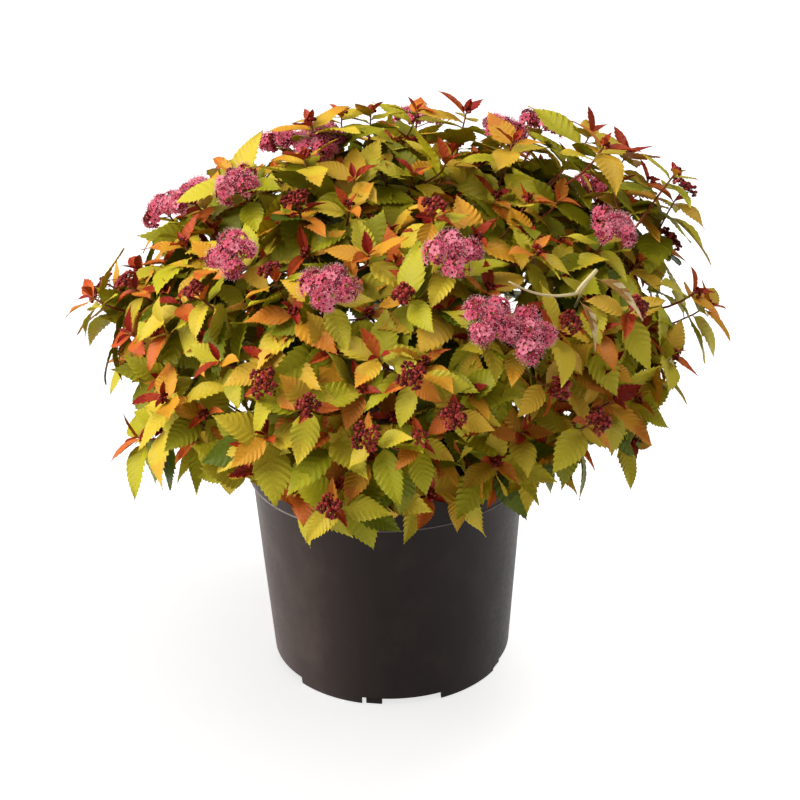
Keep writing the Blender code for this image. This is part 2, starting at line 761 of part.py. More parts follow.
def main():
    """Builds the pot, the compost, the stem base, the boughs and the masses."""
    for old in list(bpy.data.objects):
        bpy.data.objects.remove(old)
    plant = new_collection(PLANT_NAME)
    cutters = new_collection(CUTTERS_NAME)
    plastic = material("pot_plastic", "#2c2624", 0.45)
    compost = material("peat_compost", "#2b1d14", 0.95)
    bark = material("spirea_bark", "#6a4630", 0.80)
    foliage = material("spirea_foliage", "#a9a52e", 0.55)
    make_pot(plant, cutters, plastic)
    make_compost(plant, compost)
    make_stem_base(plant, bark)
    masses = make_masses()
    space = Space(masses)
    for target, kind in shoot_targets():
        masses[space.owner(target)].targets.append((target, kind))
    fork = place(*DEAD_FORK)
    masses[space.owner(fork)].targets.append((fork, "dead"))
    total = 0
    for index, mass in enumerate(masses):
        make_bough(mass, plant, bark)
        leaves = make_mass(mass, index, space, plant, foliage)
        total += leaves
        faces = len(bpy.data.objects[f"foliage_{mass.name}"].data.polygons)
        print(mass.name, len(mass.targets), "shoots", leaves, "leaves", faces, "faces")
    print("leaves", total)


main()
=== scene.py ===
"""Dresses the potted golden spirea: pot, compost, bark, twigs, leaves, flowers and buds.

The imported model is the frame, so every piece is built in its place, in metres with +Z up,
from the middle of the pot's underside. The plant's front faces -Y, and a bearing is counted
in degrees from there towards +X. The boughs and shoots repeat the source's growth rule, and
side twigs, petioles, leaves and flowers grow on from them.
"""

from __future__ import annotations

import logging
import math
import random
from collections.abc import Sequence
from dataclasses import dataclass, field
from enum import Enum

import bmesh
import bpy
import numpy as np
from mathutils import Matrix, Vector, noise
from mathutils.geometry import interpolate_bezier

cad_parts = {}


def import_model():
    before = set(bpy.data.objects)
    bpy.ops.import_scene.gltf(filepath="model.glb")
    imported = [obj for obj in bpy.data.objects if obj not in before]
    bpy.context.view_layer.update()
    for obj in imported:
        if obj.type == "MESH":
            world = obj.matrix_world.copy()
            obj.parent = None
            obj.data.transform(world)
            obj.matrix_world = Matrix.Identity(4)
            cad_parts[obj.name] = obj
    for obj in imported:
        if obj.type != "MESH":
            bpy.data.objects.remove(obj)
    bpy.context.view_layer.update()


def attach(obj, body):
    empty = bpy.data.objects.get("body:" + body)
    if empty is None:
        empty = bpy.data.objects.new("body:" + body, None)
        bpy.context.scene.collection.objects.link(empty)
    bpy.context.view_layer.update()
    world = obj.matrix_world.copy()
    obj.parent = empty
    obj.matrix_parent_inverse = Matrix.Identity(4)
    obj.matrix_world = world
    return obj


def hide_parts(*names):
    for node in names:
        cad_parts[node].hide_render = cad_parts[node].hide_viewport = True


log = logging.getLogger("potted_spirea")

UP = Vector((0.0, 0.0, 1.0))
GOLDEN_ANGLE = math.pi * (3.0 - math.sqrt(5.0))
MILLIMETRE = 0.001
MERGE = 0.00001
CLEARANCE = 0.0003
SHARP_EDGE = 30.0
HANDLE_AT_ROOT = 0.40
HANDLE_AT_TIP = 0.33


def direction(bearing: float, elevation: float) -> Vector:
    """The unit vector at a bearing from the front and an elevation, in degrees."""
    b, e = math.radians(bearing), math.radians(elevation)
    return Vector((math.sin(b) * math.cos(e), -math.cos(b) * math.cos(e), math.sin(e)))


def place(bearing: float, height: float, distance: float) -> Vector:
    """The point at a bearing, a height and a distance from the pot's axis."""
    return direction(bearing, 0.0) * distance + UP * height


def linear(hex_value: str) -> tuple[float, float, float, float]:
    """A linear RGBA colour from an sRGB hex string."""
    channels = [int(hex_value[i:i + 2], 16) / 255.0 for i in (1, 3, 5)]
    return (*[c / 12.92 if c < 0.04045 else ((c + 0.055) / 1.055) ** 2.4 for c in channels], 1.0)


def add_node(
    tree: bpy.types.NodeTree,
    kind: str,
    values: dict | None = None,
    links: dict | None = None,
    **settings: object,
) -> bpy.types.Node:
    """Adds one node to a tree.

    Args:
        tree: The node tree.
        kind: The node's type.
        values: Constants by the name or number of the input.
        links: Output sockets by the name or number of the input that they feed.
        settings: Properties of the node itself.

    Returns:
        The new node.
    """
    node = tree.nodes.new(kind)
    for name, value in settings.items():
        setattr(node, name, value)
    for key, value in (values or {}).items():
        node.inputs[key].default_value = value
    for key, source in (links or {}).items():
        tree.links.new(source, node.inputs[key])
    return node


def new_material(name: str) -> tuple[bpy.types.Material, bpy.types.NodeTree, bpy.types.Node]:
    """A material with its tree and its Principled shader."""
    made = bpy.data.materials.new(name)
    made.use_nodes = True
    return made, made.node_tree, made.node_tree.nodes["Principled BSDF"]


def per_millimetres(size: float) -> float:
    """The texture scale whose features measure a size in millimetres."""
    return 1.0 / (size * MILLIMETRE)


@dataclass(frozen=True)
class LivingFinish:
    """A leaf, petal, bud or green stem: one plain colour under the soft gloss of its cuticle,
    puckered between its finest veins."""

    name: str
    colour: str
    roughness: float = 0.48
    specular: float = 0.14
    pucker_mm: float = 1.8
    pucker_height: float = 0.00042

    def build(self) -> bpy.types.Material:
        """The material, with its values on the shader's own sockets."""
        made, tree, shader = new_material(self.name)
        where = add_node(tree, "ShaderNodeTexCoord").outputs["Object"]
        pucker = add_node(
            tree, "ShaderNodeTexNoise",
            {"Scale": per_millimetres(self.pucker_mm), "Detail": 2.0, "Roughness": 0.5},
            {"Vector": where},
        ).outputs["Fac"]
        bump = add_node(
            tree, "ShaderNodeBump", {"Strength": 1.0, "Distance": self.pucker_height},
            {"Height": pucker},
        ).outputs["Normal"]
        tree.links.new(bump, shader.inputs["Normal"])
        shader.inputs["Base Color"].default_value = linear(self.colour)
        shader.inputs["Roughness"].default_value = self.roughness
        shader.inputs["Specular IOR Level"].default_value = self.specular
        return made


@dataclass(frozen=True)
class MouldedPolypropylene:
    """Injection-moulded polypropylene: satin brown-black, with a faint grain, flow marks that
    run up the wall, a thin bloom of dust and dried water, and light scuffs."""

    name: str = "moulded_polypropylene"
    colour: str = "#1b1412"
    worn_colour: str = "#251c19"
    dust_colour: str = "#3f342f"
    grain_mm: float = 0.9
    flow_mm: float = 16.0
    stain_mm: float = 45.0
    scuff_mm: float = 4.0
    specular: float = 0.11

    def build(self) -> bpy.types.Material:
        """The material, its patterns on Object coordinates."""
        made, tree, shader = new_material(self.name)
        where = add_node(tree, "ShaderNodeTexCoord").outputs["Object"]
        upright = add_node(
            tree, "ShaderNodeMapping", {"Scale": (1.0, 1.0, 0.12)}, {"Vector": where}
        ).outputs["Vector"]
        grain, flow, stain, scuff = (
            add_node(
                tree, "ShaderNodeTexNoise",
                {"Scale": per_millimetres(size), "Detail": detail, "Roughness": rough},
                {"Vector": source},
            ).outputs["Fac"]
            for size, detail, rough, source in (
                (self.grain_mm, 2.0, 0.5, where),
                (self.flow_mm, 3.0, 0.5, upright),
                (self.stain_mm, 6.0, 0.62, where),
                (self.scuff_mm, 8.0, 0.70, where),
            )
        )
        body = add_node(
            tree, "ShaderNodeMix", {6: linear(self.colour), 7: linear(self.worn_colour)},
            {0: flow}, data_type="RGBA",
        ).outputs[2]
        dusty = add_node(
            tree, "ShaderNodeMapRange",
            {"From Min": 0.50, "From Max": 0.80, "To Min": 0.0, "To Max": 0.30}, {"Value": stain},
        ).outputs["Result"]
        tinted = add_node(
            tree, "ShaderNodeMix", {7: linear(self.dust_colour)}, {0: dusty, 6: body},
            data_type="RGBA",
        ).outputs[2]
        gloss = add_node(
            tree, "ShaderNodeMapRange",
            {"From Min": 0.30, "From Max": 0.75, "To Min": 0.36, "To Max": 0.52},
            {"Value": scuff},
        ).outputs["Result"]
        fine = add_node(
            tree, "ShaderNodeBump", {"Strength": 0.12, "Distance": 0.0001}, {"Height": grain}
        ).outputs["Normal"]
        waves = add_node(
            tree, "ShaderNodeBump", {"Strength": 0.25, "Distance": 0.0005},
            {"Height": flow, "Normal": fine},
        ).outputs["Normal"]
        tree.links.new(tinted, shader.inputs["Base Color"])
        tree.links.new(gloss, shader.inputs["Roughness"])
        tree.links.new(waves, shader.inputs["Normal"])
        shader.inputs["IOR"].default_value = 1.49
        shader.inputs["Specular IOR Level"].default_value = self.specular
        return made


@dataclass(frozen=True)
class RoughNatural:
    """Bark or peat: a dull, dry surface mottled between two browns, pitted all over."""

    name: str
    dark: str
    light: str
    mottle_mm: float
    pit_mm: float
    relief: float
    roughness: float = 0.88
    stretch: float = 1.0

    def build(self) -> bpy.types.Material:
        """The material, its patterns on Object coordinates and drawn out along Z by stretch."""
        made, tree, shader = new_material(self.name)
        where = add_node(tree, "ShaderNodeTexCoord").outputs["Object"]
        drawn = add_node(
            tree, "ShaderNodeMapping", {"Scale": (1.0, 1.0, 1.0 / self.stretch)},
            {"Vector": where},
        ).outputs["Vector"]
        mottle, pits = (
            add_node(
                tree, "ShaderNodeTexNoise",
                {"Scale": per_millimetres(size), "Detail": 6.0, "Roughness": 0.65},
                {"Vector": drawn},
            ).outputs["Fac"]
            for size in (self.mottle_mm, self.pit_mm)
        )
        share = add_node(
            tree, "ShaderNodeMapRange", {"From Min": 0.35, "From Max": 0.66}, {"Value": mottle}
        ).outputs["Result"]
        tint = add_node(
            tree, "ShaderNodeMix", {6: linear(self.dark), 7: linear(self.light)}, {0: share},
            data_type="RGBA",
        ).outputs[2]
        bump = add_node(
            tree, "ShaderNodeBump", {"Strength": 0.7, "Distance": self.relief}, {"Height": pits}
        ).outputs["Normal"]
        tree.links.new(tint, shader.inputs["Base Color"])
        tree.links.new(bump, shader.inputs["Normal"])
        shader.inputs["Roughness"].default_value = self.roughness
        return made


class LeafTint(Enum):
    """The leaf colours, from old shaded leaves to the youngest at a shoot's tip."""

    DEEP_GREEN = "#2f3b06"
    DARK_GREEN = "#3f4b08"
    GREEN = "#525d0b"
    MOSS = "#646a0e"
    OLIVE = "#787710"
    OLIVE_LIME = "#8f8a16"
    LIME = "#a49b1d"
    YELLOW_LIME = "#b1a32b"
    YELLOW = "#bba32c"
    GOLD = "#bc952a"
    OLD_GOLD = "#bf8722"
    AMBER = "#bb7123"
    ORANGE = "#b65c20"
    BURNT_ORANGE = "#ad481d"
    COPPER = "#9e3719"
    RED = "#8e2517"


class PetalTint(Enum):
    """The colours within the flower heads."""

    PALE_PINK = "#e07f90"
    PINK = "#c44c64"
    DEEP_PINK = "#9a2b3f"
    EYE = "#661320"
    ANTHER = "#eebcc0"


class BudTint(Enum):
    """The colours of flower buds, from tight to nearly open."""

    DARK = "#521410"
    RED = "#7a2019"
    ROSE = "#9e3934"


class StemTint(Enum):
    """The colours of twigs: this year's red-brown wood, green petioles, dead straw."""

    BROWN = "#6e4224"
    RED_BROWN = "#7c3b22"
    GREEN = "#8a8228"
    STRAW = "#ccb98a"
    DRY_LEAF = "#a27a43"


def build_palette(prefix: str, tints: type[Enum], roughness: float) -> list[bpy.types.Material]:
    """One material for each tint, in the order of the tints.

    Args:
        prefix: The first word of each material's name.
        tints: The tints.
        roughness: The roughness of them all.

    Returns:
        The materials.
    """
    return [
        LivingFinish(f"{prefix}_{tint.name.lower()}", tint.value, roughness).build()
        for tint in tints
    ]


def order(tint: Enum) -> int:
    """The place of a tint in its own palette."""
    return list(type(tint)).index(tint)


def new_object(
    name: str, mesh: bpy.types.Mesh, finishes: Sequence[bpy.types.Material] = ()
) -> bpy.types.Object:
    """An object linked to the scene, with its materials."""
    made = bpy.data.objects.new(name, mesh)
    bpy.context.scene.collection.objects.link(made)
    for finish in finishes:
        mesh.materials.append(finish)
    return made


def mesh_from(bm: bmesh.types.BMesh, name: str, crease: float | None = None) -> bpy.types.Mesh:
    """A smooth mesh from a bmesh, which is freed.

    Args:
        bm: The bmesh.
        name: The mesh's name.
        crease: The angle in degrees past which an edge stays sharp, if any does.

    Returns:
        The mesh.
    """
    mesh = bpy.data.meshes.new(name)
    bm.to_mesh(mesh)
    bm.free()
    mesh.shade_smooth()
    if crease is not None:
        mesh.set_sharp_from_angle(angle=math.radians(crease))
    return mesh


def applied(made: bpy.types.Object) -> bpy.types.Object:
    """The object with its modifiers applied."""
    bpy.context.view_layer.update()
    graph = bpy.context.evaluated_depsgraph_get()
    mesh = bpy.data.meshes.new_from_object(made.evaluated_get(graph))
    made.modifiers.clear()
    made.data = mesh
    return made


def spun(profile: Sequence[tuple[float, float]], steps: int) -> bmesh.types.BMesh:
    """A closed bmesh turned about Z from a profile of (radius, height).

    Args:
        profile: The section, which starts and ends on the axis.
        steps: The number of sides.

    Returns:
        The bmesh.
    """
    bm = bmesh.new()
    points = [bm.verts.new((radius, 0.0, height)) for radius, height in profile]
    edges = [bm.edges.new(pair) for pair in zip(points, points[1:])]
    bmesh.ops.spin(
        bm, geom=[*points, *edges], cent=(0.0, 0.0, 0.0), axis=UP, angle=math.tau, steps=steps,
        use_merge=True,
    )
    bmesh.ops.remove_doubles(bm, verts=bm.verts, dist=MERGE)
    bmesh.ops.recalc_face_normals(bm, faces=bm.faces)
    return bm


def arched(start: Vector, leave: Vector, end: Vector, arrive: Vector, steps: int) -> list[Vector]:
    """Points along the source's arch between two headings.

    Args:
        start: Where it starts.
        leave: The heading that it leaves on.
        end: Where it ends.
        arrive: The heading that it arrives on.
        steps: The number of segments.

    Returns:
        The points.
    """
    span = (end - start).length
    return interpolate_bezier(
        start, start + leave * span * HANDLE_AT_ROOT, end - arrive * span * HANDLE_AT_TIP, end,
        steps + 1,
    )


def along(path: Sequence[Vector], share: float) -> tuple[Vector, Vector]:
    """The point at a share of a path, and the heading there."""
    position = share * (len(path) - 1)
    piece = min(int(position), len(path) - 2)
    step = path[piece + 1] - path[piece]
    return path[piece].lerp(path[piece + 1], position - piece), step.normalized()


def grow_limb(
    bm: bmesh.types.BMesh,
    path: Sequence[Vector],
    radii: tuple[float, float],
    sides: int,
    finish: int = 0,
) -> list[list[bmesh.types.BMVert]]:
    """Grows one closed, tapering limb in a bmesh, ring by ring from a cone primitive.

    Args:
        bm: The bmesh.
        path: The points along the limb's middle.
        radii: The radius at its start and at its end.
        sides: The number of sides.
        finish: The number of its material.

    Returns:
        The vertices of each ring.
    """
    last = len(path) - 1
    ahead = [(path[min(k + 1, last)] - path[max(k - 1, 0)]).normalized() for k in range(last + 1)]
    turn = UP.rotation_difference(ahead[0])
    frames = []
    for k, point in enumerate(path):
        if k:
            turn = ahead[k - 1].rotation_difference(ahead[k]) @ turn
        radius = radii[0] + (radii[1] - radii[0]) * k / last
        frames.append(Matrix.LocRotScale(point, turn, Vector((radius, radius, radius))))
    made = bmesh.ops.create_cone(
        bm, cap_ends=True, segments=sides, radius1=1.0, radius2=1.0, depth=2.0
    )["verts"]
    lower = [v for v in made if v.co.z < 0.0]
    upper = [v for v in made if v.co.z > 0.0]
    bmesh.ops.transform(bm, matrix=frames[0] @ Matrix.Translation((0, 0, 1)), verts=lower)
    bmesh.ops.transform(bm, matrix=frames[1] @ Matrix.Translation((0, 0, -1)), verts=upper)
    rings = [lower, upper]
    end = next(f for f in upper[0].link_faces if all(v in upper for v in f.verts))
    for here, following in zip(frames[1:], frames[2:]):
        end = bmesh.ops.extrude_discrete_faces(bm, faces=[end])["faces"][0]
        bmesh.ops.transform(bm, matrix=following @ here.inverted(), verts=end.verts)
        rings.append(list(end.verts))
    if finish:
        for face in {face for ring in rings for vert in ring for face in vert.link_faces}:
            face.material_index = finish
    return rings


class Template:
    """A small mesh kept as arrays, to be copied many times."""

    def __init__(self, bm: bmesh.types.BMesh) -> None:
        """Reads a bmesh, whose material numbers become zones, and frees it."""
        bmesh.ops.triangulate(bm, faces=bm.faces)
        bm.verts.index_update()
        self.points = np.array([tuple(v.co) for v in bm.verts])
        self.faces = np.array([[v.index for v in f.verts] for f in bm.faces])
        self.zones = np.array([f.material_index for f in bm.faces])
        bm.free()


def stalk_template(taper: float) -> Template:
    """A three-sided stalk of unit length along +Y, its end as wide as the taper says."""
    stalk = bmesh.new()
    bmesh.ops.create_cone(
        stalk, cap_ends=False, segments=3, radius1=1.0, radius2=taper, depth=1.0,
        matrix=Matrix.Rotation(-math.pi / 2.0, 4, "X") @ Matrix.Translation((0.0, 0.0, 0.5)),
    )
    return Template(stalk)


def stray(rng: random.Random, reach: float) -> Vector:
    """A random vector that reaches this far at most along each axis."""
    return Vector([rng.uniform(-reach, reach) for _ in range(3)])


class Batch:
    """Copies of templates, joined into one mesh."""

    def __init__(self) -> None:
        """Starts with no copies."""
        self.points: list[np.ndarray] = []
        self.faces: list[np.ndarray] = []
        self.finishes: list[np.ndarray] = []
        self.count = 0

    def add(
        self, template: Template, origin: np.ndarray, axes: np.ndarray, finishes: Sequence[int]
    ) -> None:
        """Adds one copy.

        Args:
            template: What is copied.
            origin: Where the template's origin goes.
            axes: A row for where each of its axes goes, with its scale.
            finishes: The material of each zone.
        """
        self.points.append(template.points @ axes + origin)
        self.faces.append(template.faces + self.count)
        self.finishes.append(np.asarray(finishes)[template.zones])
        self.count += len(template.points)

    def build(
        self, name: str, finishes: Sequence[bpy.types.Material], crease: float | None = None
    ) -> bpy.types.Object:
        """The joined copies as a smooth object.

        Args:
            name: The object's name.
            finishes: Its materials.
            crease: The angle in degrees past which an edge stays sharp, if any does.

        Returns:
            The object.
        """
        points = np.concatenate(self.points)
        faces = np.concatenate(self.faces)
        mesh = bpy.data.meshes.new(name)
        mesh.vertices.add(len(points))
        mesh.vertices.foreach_set("co", points.ravel())
        mesh.loops.add(faces.size)
        mesh.loops.foreach_set("vertex_index", faces.ravel())
        mesh.polygons.add(len(faces))
        mesh.polygons.foreach_set("loop_start", np.arange(0, faces.size, 3))
        mesh.polygons.foreach_set("material_index", np.concatenate(self.finishes))
        mesh.update(calc_edges=True)
        mesh.validate()
        mesh.shade_smooth()
        if crease is not None:
            mesh.set_sharp_from_angle(angle=math.radians(crease))
        return new_object(name, mesh, finishes)


def axes_along(heading: Vector, up: Vector, size: float) -> np.ndarray:
    """Axes for a template whose length is +Y and whose upper side is +Z.

    Args:
        heading: Where its length points.
        up: The side that its upper face is turned to.
        size: Its scale.

    Returns:
        A row for each axis.
    """
    side = heading.cross(up).normalized()
    top = side.cross(heading).normalized()
    return np.array((tuple(side), tuple(heading.normalized()), tuple(top))) * size


@dataclass
class Pot:
    """The round nursery pot: collar, tapered wall, notched foot ring and drain holes."""

    height: float = 0.190
    rim_radius: float = 0.1125
    collar_height: float = 0.028
    collar_foot_radius: float = 0.1095
    shoulder_radius: float = 0.1073
    foot_radius: float = 0.0957
    wall: float = 0.002
    bead: float = 0.0005
    bead_arc: float = 1.9
    highlight_reach: float = 2.5
    foot_rounding: float = 0.0018
    foot_ring_width: float = 0.0048
    floor_underside: float = 0.0060
    floor_thickness: float = 0.0024
    pad_radius: float = 0.031
    pad_slope: float = 0.006
    sides: int = 180
    arc_steps: int = 4
    notch_count: int = 5
    first_notch_bearing: float = 4.5
    notch_size: tuple[float, float, float] = (0.062, 0.022, 0.0066)
    notch_below: float = 0.001
    tab_bearing: float = -13.5
    tab_size: tuple[float, float, float] = (0.0125, 0.0025, 0.0078)
    drain_radius: float = 0.004
    drain_distance: float = 0.070
    drain_sides: int = 24
    edge_softness: float = 0.00035
    crease: float = 32.0

    def wall_radius(self, height: float) -> float:
        """The outer radius of the wall at a height."""
        share = height / (self.height - self.collar_height)
        return self.foot_radius + (self.shoulder_radius - self.foot_radius) * share

    def rounded(
        self, centre: tuple[float, float], radius: float, first: float, last: float
    ) -> list[tuple[float, float]]:
        """An arc of the section, from one angle to another in degrees, counted from +X."""
        angles = np.radians(np.linspace(first, last, self.arc_steps + 1))
        x, z = centre
        return [(x + radius * math.cos(a), z + radius * math.sin(a)) for a in angles]

    def section(self) -> list[tuple[float, float]]:
        """The section from the middle of the floor, up inside, over the rim and back under."""
        shoulder = self.height - self.collar_height
        floor_top = self.floor_underside + self.floor_thickness
        pad_edge = self.pad_radius + self.pad_slope
        half = self.wall / 2.0
        ring = self.foot_radius - self.foot_ring_width
        rounding = self.foot_rounding
        foot = (self.wall_radius(rounding) - rounding, rounding)
        bead = (self.collar_foot_radius - self.bead, shoulder + self.bead * 2.0)
        return [
            (0.0, self.floor_thickness),
            (self.pad_radius, self.floor_thickness),
            (pad_edge, floor_top),
            (self.wall_radius(floor_top) - self.wall, floor_top),
            (self.wall_radius(shoulder) - self.wall, shoulder),
            (self.collar_foot_radius - self.wall, shoulder + self.wall),
            *self.rounded((self.rim_radius - half, self.height - half), half, 180.0, 0.0),
            (self.collar_foot_radius, shoulder + self.bead * 5.0),
            *self.rounded(bead, self.bead * self.bead_arc, 60.0, -90.0),
            (self.shoulder_radius, shoulder + self.bead * 0.2),
            (self.shoulder_radius - self.bead * 0.5, shoulder - self.bead * 2.0),
            (self.wall_radius(shoulder * 0.5), shoulder * 0.5),
            *self.rounded(foot, rounding, 0.0, -90.0),
            (ring, 0.0),
            (ring, self.floor_underside),
            (pad_edge, self.floor_underside),
            (self.pad_radius, 0.0),
            (0.0, 0.0),
        ]

    def cutters(self) -> list[bpy.types.Object]:
        """The blocks and rods that cut the notches and the drain holes."""
        made = []
        width, depth, height = self.notch_size
        for number in range(self.notch_count):
            bearing = self.first_notch_bearing + 360.0 / self.notch_count * number
            turn = Matrix.Rotation(math.radians(bearing), 4, "Z")
            notch = bmesh.new()
            size = Matrix.Diagonal((width, depth, height + self.notch_below, 1.0))
            middle = (height - self.notch_below) / 2.0
            centre = (0.0, -self.foot_radius + self.foot_ring_width / 2.0, middle)
            bmesh.ops.create_cube(notch, size=1.0, matrix=turn @ Matrix.Translation(centre) @ size)
            made.append(new_object(f"notch_{number}", mesh_from(notch, "notch", SHARP_EDGE)))
            drain = bmesh.new()
            hole = place(bearing, self.floor_underside, self.drain_distance)
            bmesh.ops.create_cone(
                drain, cap_ends=True, segments=self.drain_sides, radius1=self.drain_radius,
                radius2=self.drain_radius, depth=self.floor_underside * 2.0,
                matrix=Matrix.Translation(hole),
            )
            made.append(new_object(f"drain_{number}", mesh_from(drain, "drain", SHARP_EDGE)))
        return made

    def add_tabs(self, bm: bmesh.types.BMesh) -> None:
        """Adds the small foot that stands in each notch, with soft edges."""
        width, depth, height = self.tab_size
        for number in range(self.notch_count):
            bearing = self.first_notch_bearing + 360.0 / self.notch_count * number
            turn = Matrix.Rotation(math.radians(bearing + self.tab_bearing), 4, "Z")
            distance = self.foot_radius - self.wall - depth / 2.0
            centre = Matrix.Translation((0.0, -distance, height / 2.0))
            tab = bmesh.ops.create_cube(
                bm, size=1.0, matrix=turn @ centre @ Matrix.Diagonal((width, depth, height, 1.0))
            )["verts"]
            edges = list({edge for vert in tab for edge in vert.link_edges})
            bmesh.ops.bevel(
                bm, geom=edges, offset=self.edge_softness, affect="EDGES", segments=2,
                profile=0.5, material=-1,
            )

    def build(self, finishes: Sequence[bpy.types.Material]) -> bpy.types.Object:
        """The dressed pot, in place of the frame's, from its body's finish and a lighter finish on
        the bead under the collar, a painted highlight where the bead catches the light.
        """
        shell = spun(self.section(), self.sides)
        shoulder = self.height - self.collar_height
        # The bead's outer faces get the second, lighter finish: a painted highlight along the
        # bead.
        for face in shell.faces:
            middle = face.calc_center_median()
            on_highlight_bead = abs(middle.z - shoulder - self.bead) < self.bead * self.highlight_reach
            outside = math.hypot(middle.x, middle.y) > self.collar_foot_radius - self.bead
            face.material_index = int(on_highlight_bead and outside)
        pot = new_object("pot_shell", mesh_from(shell, "pot"), finishes)
        cutters = self.cutters()
        for cutter in cutters:
            cut = pot.modifiers.new("cut", "BOOLEAN")
            cut.object = cutter
            cut.operation = "DIFFERENCE"
        applied(pot)
        for cutter in cutters:
            bpy.data.objects.remove(cutter)
        bm = bmesh.new()
        bm.from_mesh(pot.data)
        self.add_tabs(bm)
        bm.to_mesh(pot.data)
        bm.free()
        pot.data.shade_smooth()
        pot.data.set_sharp_from_angle(angle=math.radians(self.crease))
        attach(pot, "root")
        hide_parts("pot")
        return pot


@dataclass
class Compost:
    """Peat compost: a lumpy surface just under the collar, strewn with crumbs and chips."""

    level: float = 0.166
    edge_level: float = 0.158
    level_radius: float = 0.036
    full_radius: float = 0.105
    sides: int = 120
    rings: int = 26
    lump_mm: float = 9.0
    lump_height: float = 0.0022
    lump_fractal: tuple[float, float, int] = (0.7, 2.0, 4)
    lumpy_share: float = 0.99
    crumb_count: int = 700
    crumb_sizes: tuple[float, float] = (0.0009, 0.0032)
    crumb_area: tuple[float, float] = (0.06, 0.97)
    crumb_rise: float = 0.3
    crumb_depth: tuple[float, float] = (0.5, 0.9)
    crumb_height: tuple[float, float] = (0.35, 0.7)
    crumb_tilt: float = 0.6
    seed: int = 5

    def surface(self, radius: float) -> float:
        """The height of the surface at a distance from the axis."""
        share = max(0.0, radius - self.level_radius) / (self.full_radius - self.level_radius)
        return self.level + (self.edge_level - self.level) * min(1.0, share)

    def build(self, pot: Pot, finish: bpy.types.Material) -> list[bpy.types.Object]:
        """The compost and its loose crumbs, in place of the frame's.

        Args:
            pot: The pot that holds it.
            finish: Its material.

        Returns:
            The two pieces.
        """
        inset = pot.wall + CLEARANCE
        edge = pot.wall_radius(self.edge_level) - inset
        low = pot.floor_underside + pot.floor_thickness + CLEARANCE
        pad = pot.pad_radius - CLEARANCE
        top = [
            (edge * k / self.rings, self.surface(edge * k / self.rings))
            for k in range(self.rings + 1)
        ]
        under = [
            (pot.wall_radius(low) - inset, low), (pad + pot.pad_slope, low),
            (pad, pot.floor_thickness + CLEARANCE), (0.0, pot.floor_thickness + CLEARANCE),
        ]
        bm = spun([*top, *under], self.sides)
        for vert in bm.verts:
            on_top = vert.co.z > self.edge_level - CLEARANCE
            if on_top and math.hypot(*vert.co.xy) < edge * self.lumpy_share:
                where = vert.co / (self.lump_mm * MILLIMETRE)
                lump = noise.fractal(where, *self.lump_fractal)
                vert.co.z += self.lump_height * lump
        body = new_object("compost_bed", mesh_from(bm, "compost_bed"), [finish])
        rng = random.Random(self.seed)
        crumb = bmesh.new()
        bmesh.ops.create_icosphere(crumb, subdivisions=1, radius=1.0)
        template = Template(crumb)
        batch = Batch()
        for _ in range(self.crumb_count):
            radius = math.sqrt(rng.uniform(*self.crumb_area)) * edge
            turn = rng.uniform(0.0, math.tau)
            size = rng.uniform(*self.crumb_sizes)
            spot = Vector((radius * math.cos(turn), radius * math.sin(turn), 0.0))
            spot.z = self.surface(radius) + size * self.crumb_rise
            squash = Matrix.Diagonal(
                (1.0, rng.uniform(*self.crumb_depth), rng.uniform(*self.crumb_height))
            )
            tumble = Matrix.Rotation(rng.uniform(0.0, math.tau), 3, "Z")
            tilt = rng.uniform(-self.crumb_tilt, self.crumb_tilt)
            tumble = tumble @ Matrix.Rotation(tilt, 3, "X")
            axes = np.array(tumble @ squash).T * size
            batch.add(template, np.array(spot), axes, (0,))
        crumbs = batch.build("compost_crumbs", [finish])
        for piece in (body, crumbs):
            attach(piece, "root")
            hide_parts("compost")
        return [body, crumbs]


@dataclass
class StemBase:
    """The woody crown of the shrub: a knobbly stool, fluted where its old stems have fused."""

    radius: float = 0.022
    flare_radius: float = 0.026
    middle_height: float = 0.177
    foot: float = 0.1663
    sides: int = 96
    arcs: int = 28
    skirt_steps: int = 8
    flutes: int = 9
    flute_depth: float = 0.0013
    flute_wander: float = 3.0
    flute_scale: float = 60.0
    knot_depth: float = 0.0011
    knot_scale: float = 220.0
    knot_fractal: tuple[float, float, int] = (0.8, 2.0, 4)

    def build(self, finish: bpy.types.Material) -> bpy.types.Object:
        """The dressed stem base, in place of the frame's."""
        dome = [
            (self.radius * math.sin(a), self.middle_height + self.radius * math.cos(a))
            for a in np.radians(np.linspace(0.0, 90.0, self.arcs))
        ]
        skirt = [
            (self.radius + (self.flare_radius - self.radius) * k / self.skirt_steps,
             self.middle_height + (self.foot - self.middle_height) * k / self.skirt_steps)
            for k in range(1, self.skirt_steps + 1)
        ]
        bm = spun([*dome, *skirt, (0.0, self.foot)], self.sides)
        middle = UP * self.middle_height
        for vert in bm.verts:
            if vert.co.z <= self.foot + MERGE:
                continue
            outward = (vert.co - middle).normalized()
            turn = math.atan2(outward.y, outward.x)
            lean = 1.0 - max(0.0, outward.z) ** 2
            wander = self.flute_wander * noise.noise(vert.co * self.flute_scale)
            flute = math.cos(turn * self.flutes + wander)
            knot = noise.fractal(vert.co * self.knot_scale, *self.knot_fractal)
            vert.co += outward * (flute * self.flute_depth * lean + knot * self.knot_depth)
        stem = new_object("stem_stool", mesh_from(bm, "stem_stool"), [finish])
        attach(stem, "root")
        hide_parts("stem_base")
        return stem


class Tip(Enum):
    """What a shoot ends in."""

    LEAFY = "leafy"
    SPRIG = "sprig"
    DEAD = "dead"
    BUD = "bud"
    BLOOM = "bloom"


@dataclass
class Shoot:
    """A twig with its path, what it ends in, and how many steps it is from the bough."""

    path: list[Vector]
    tip: Tip
    rank: int


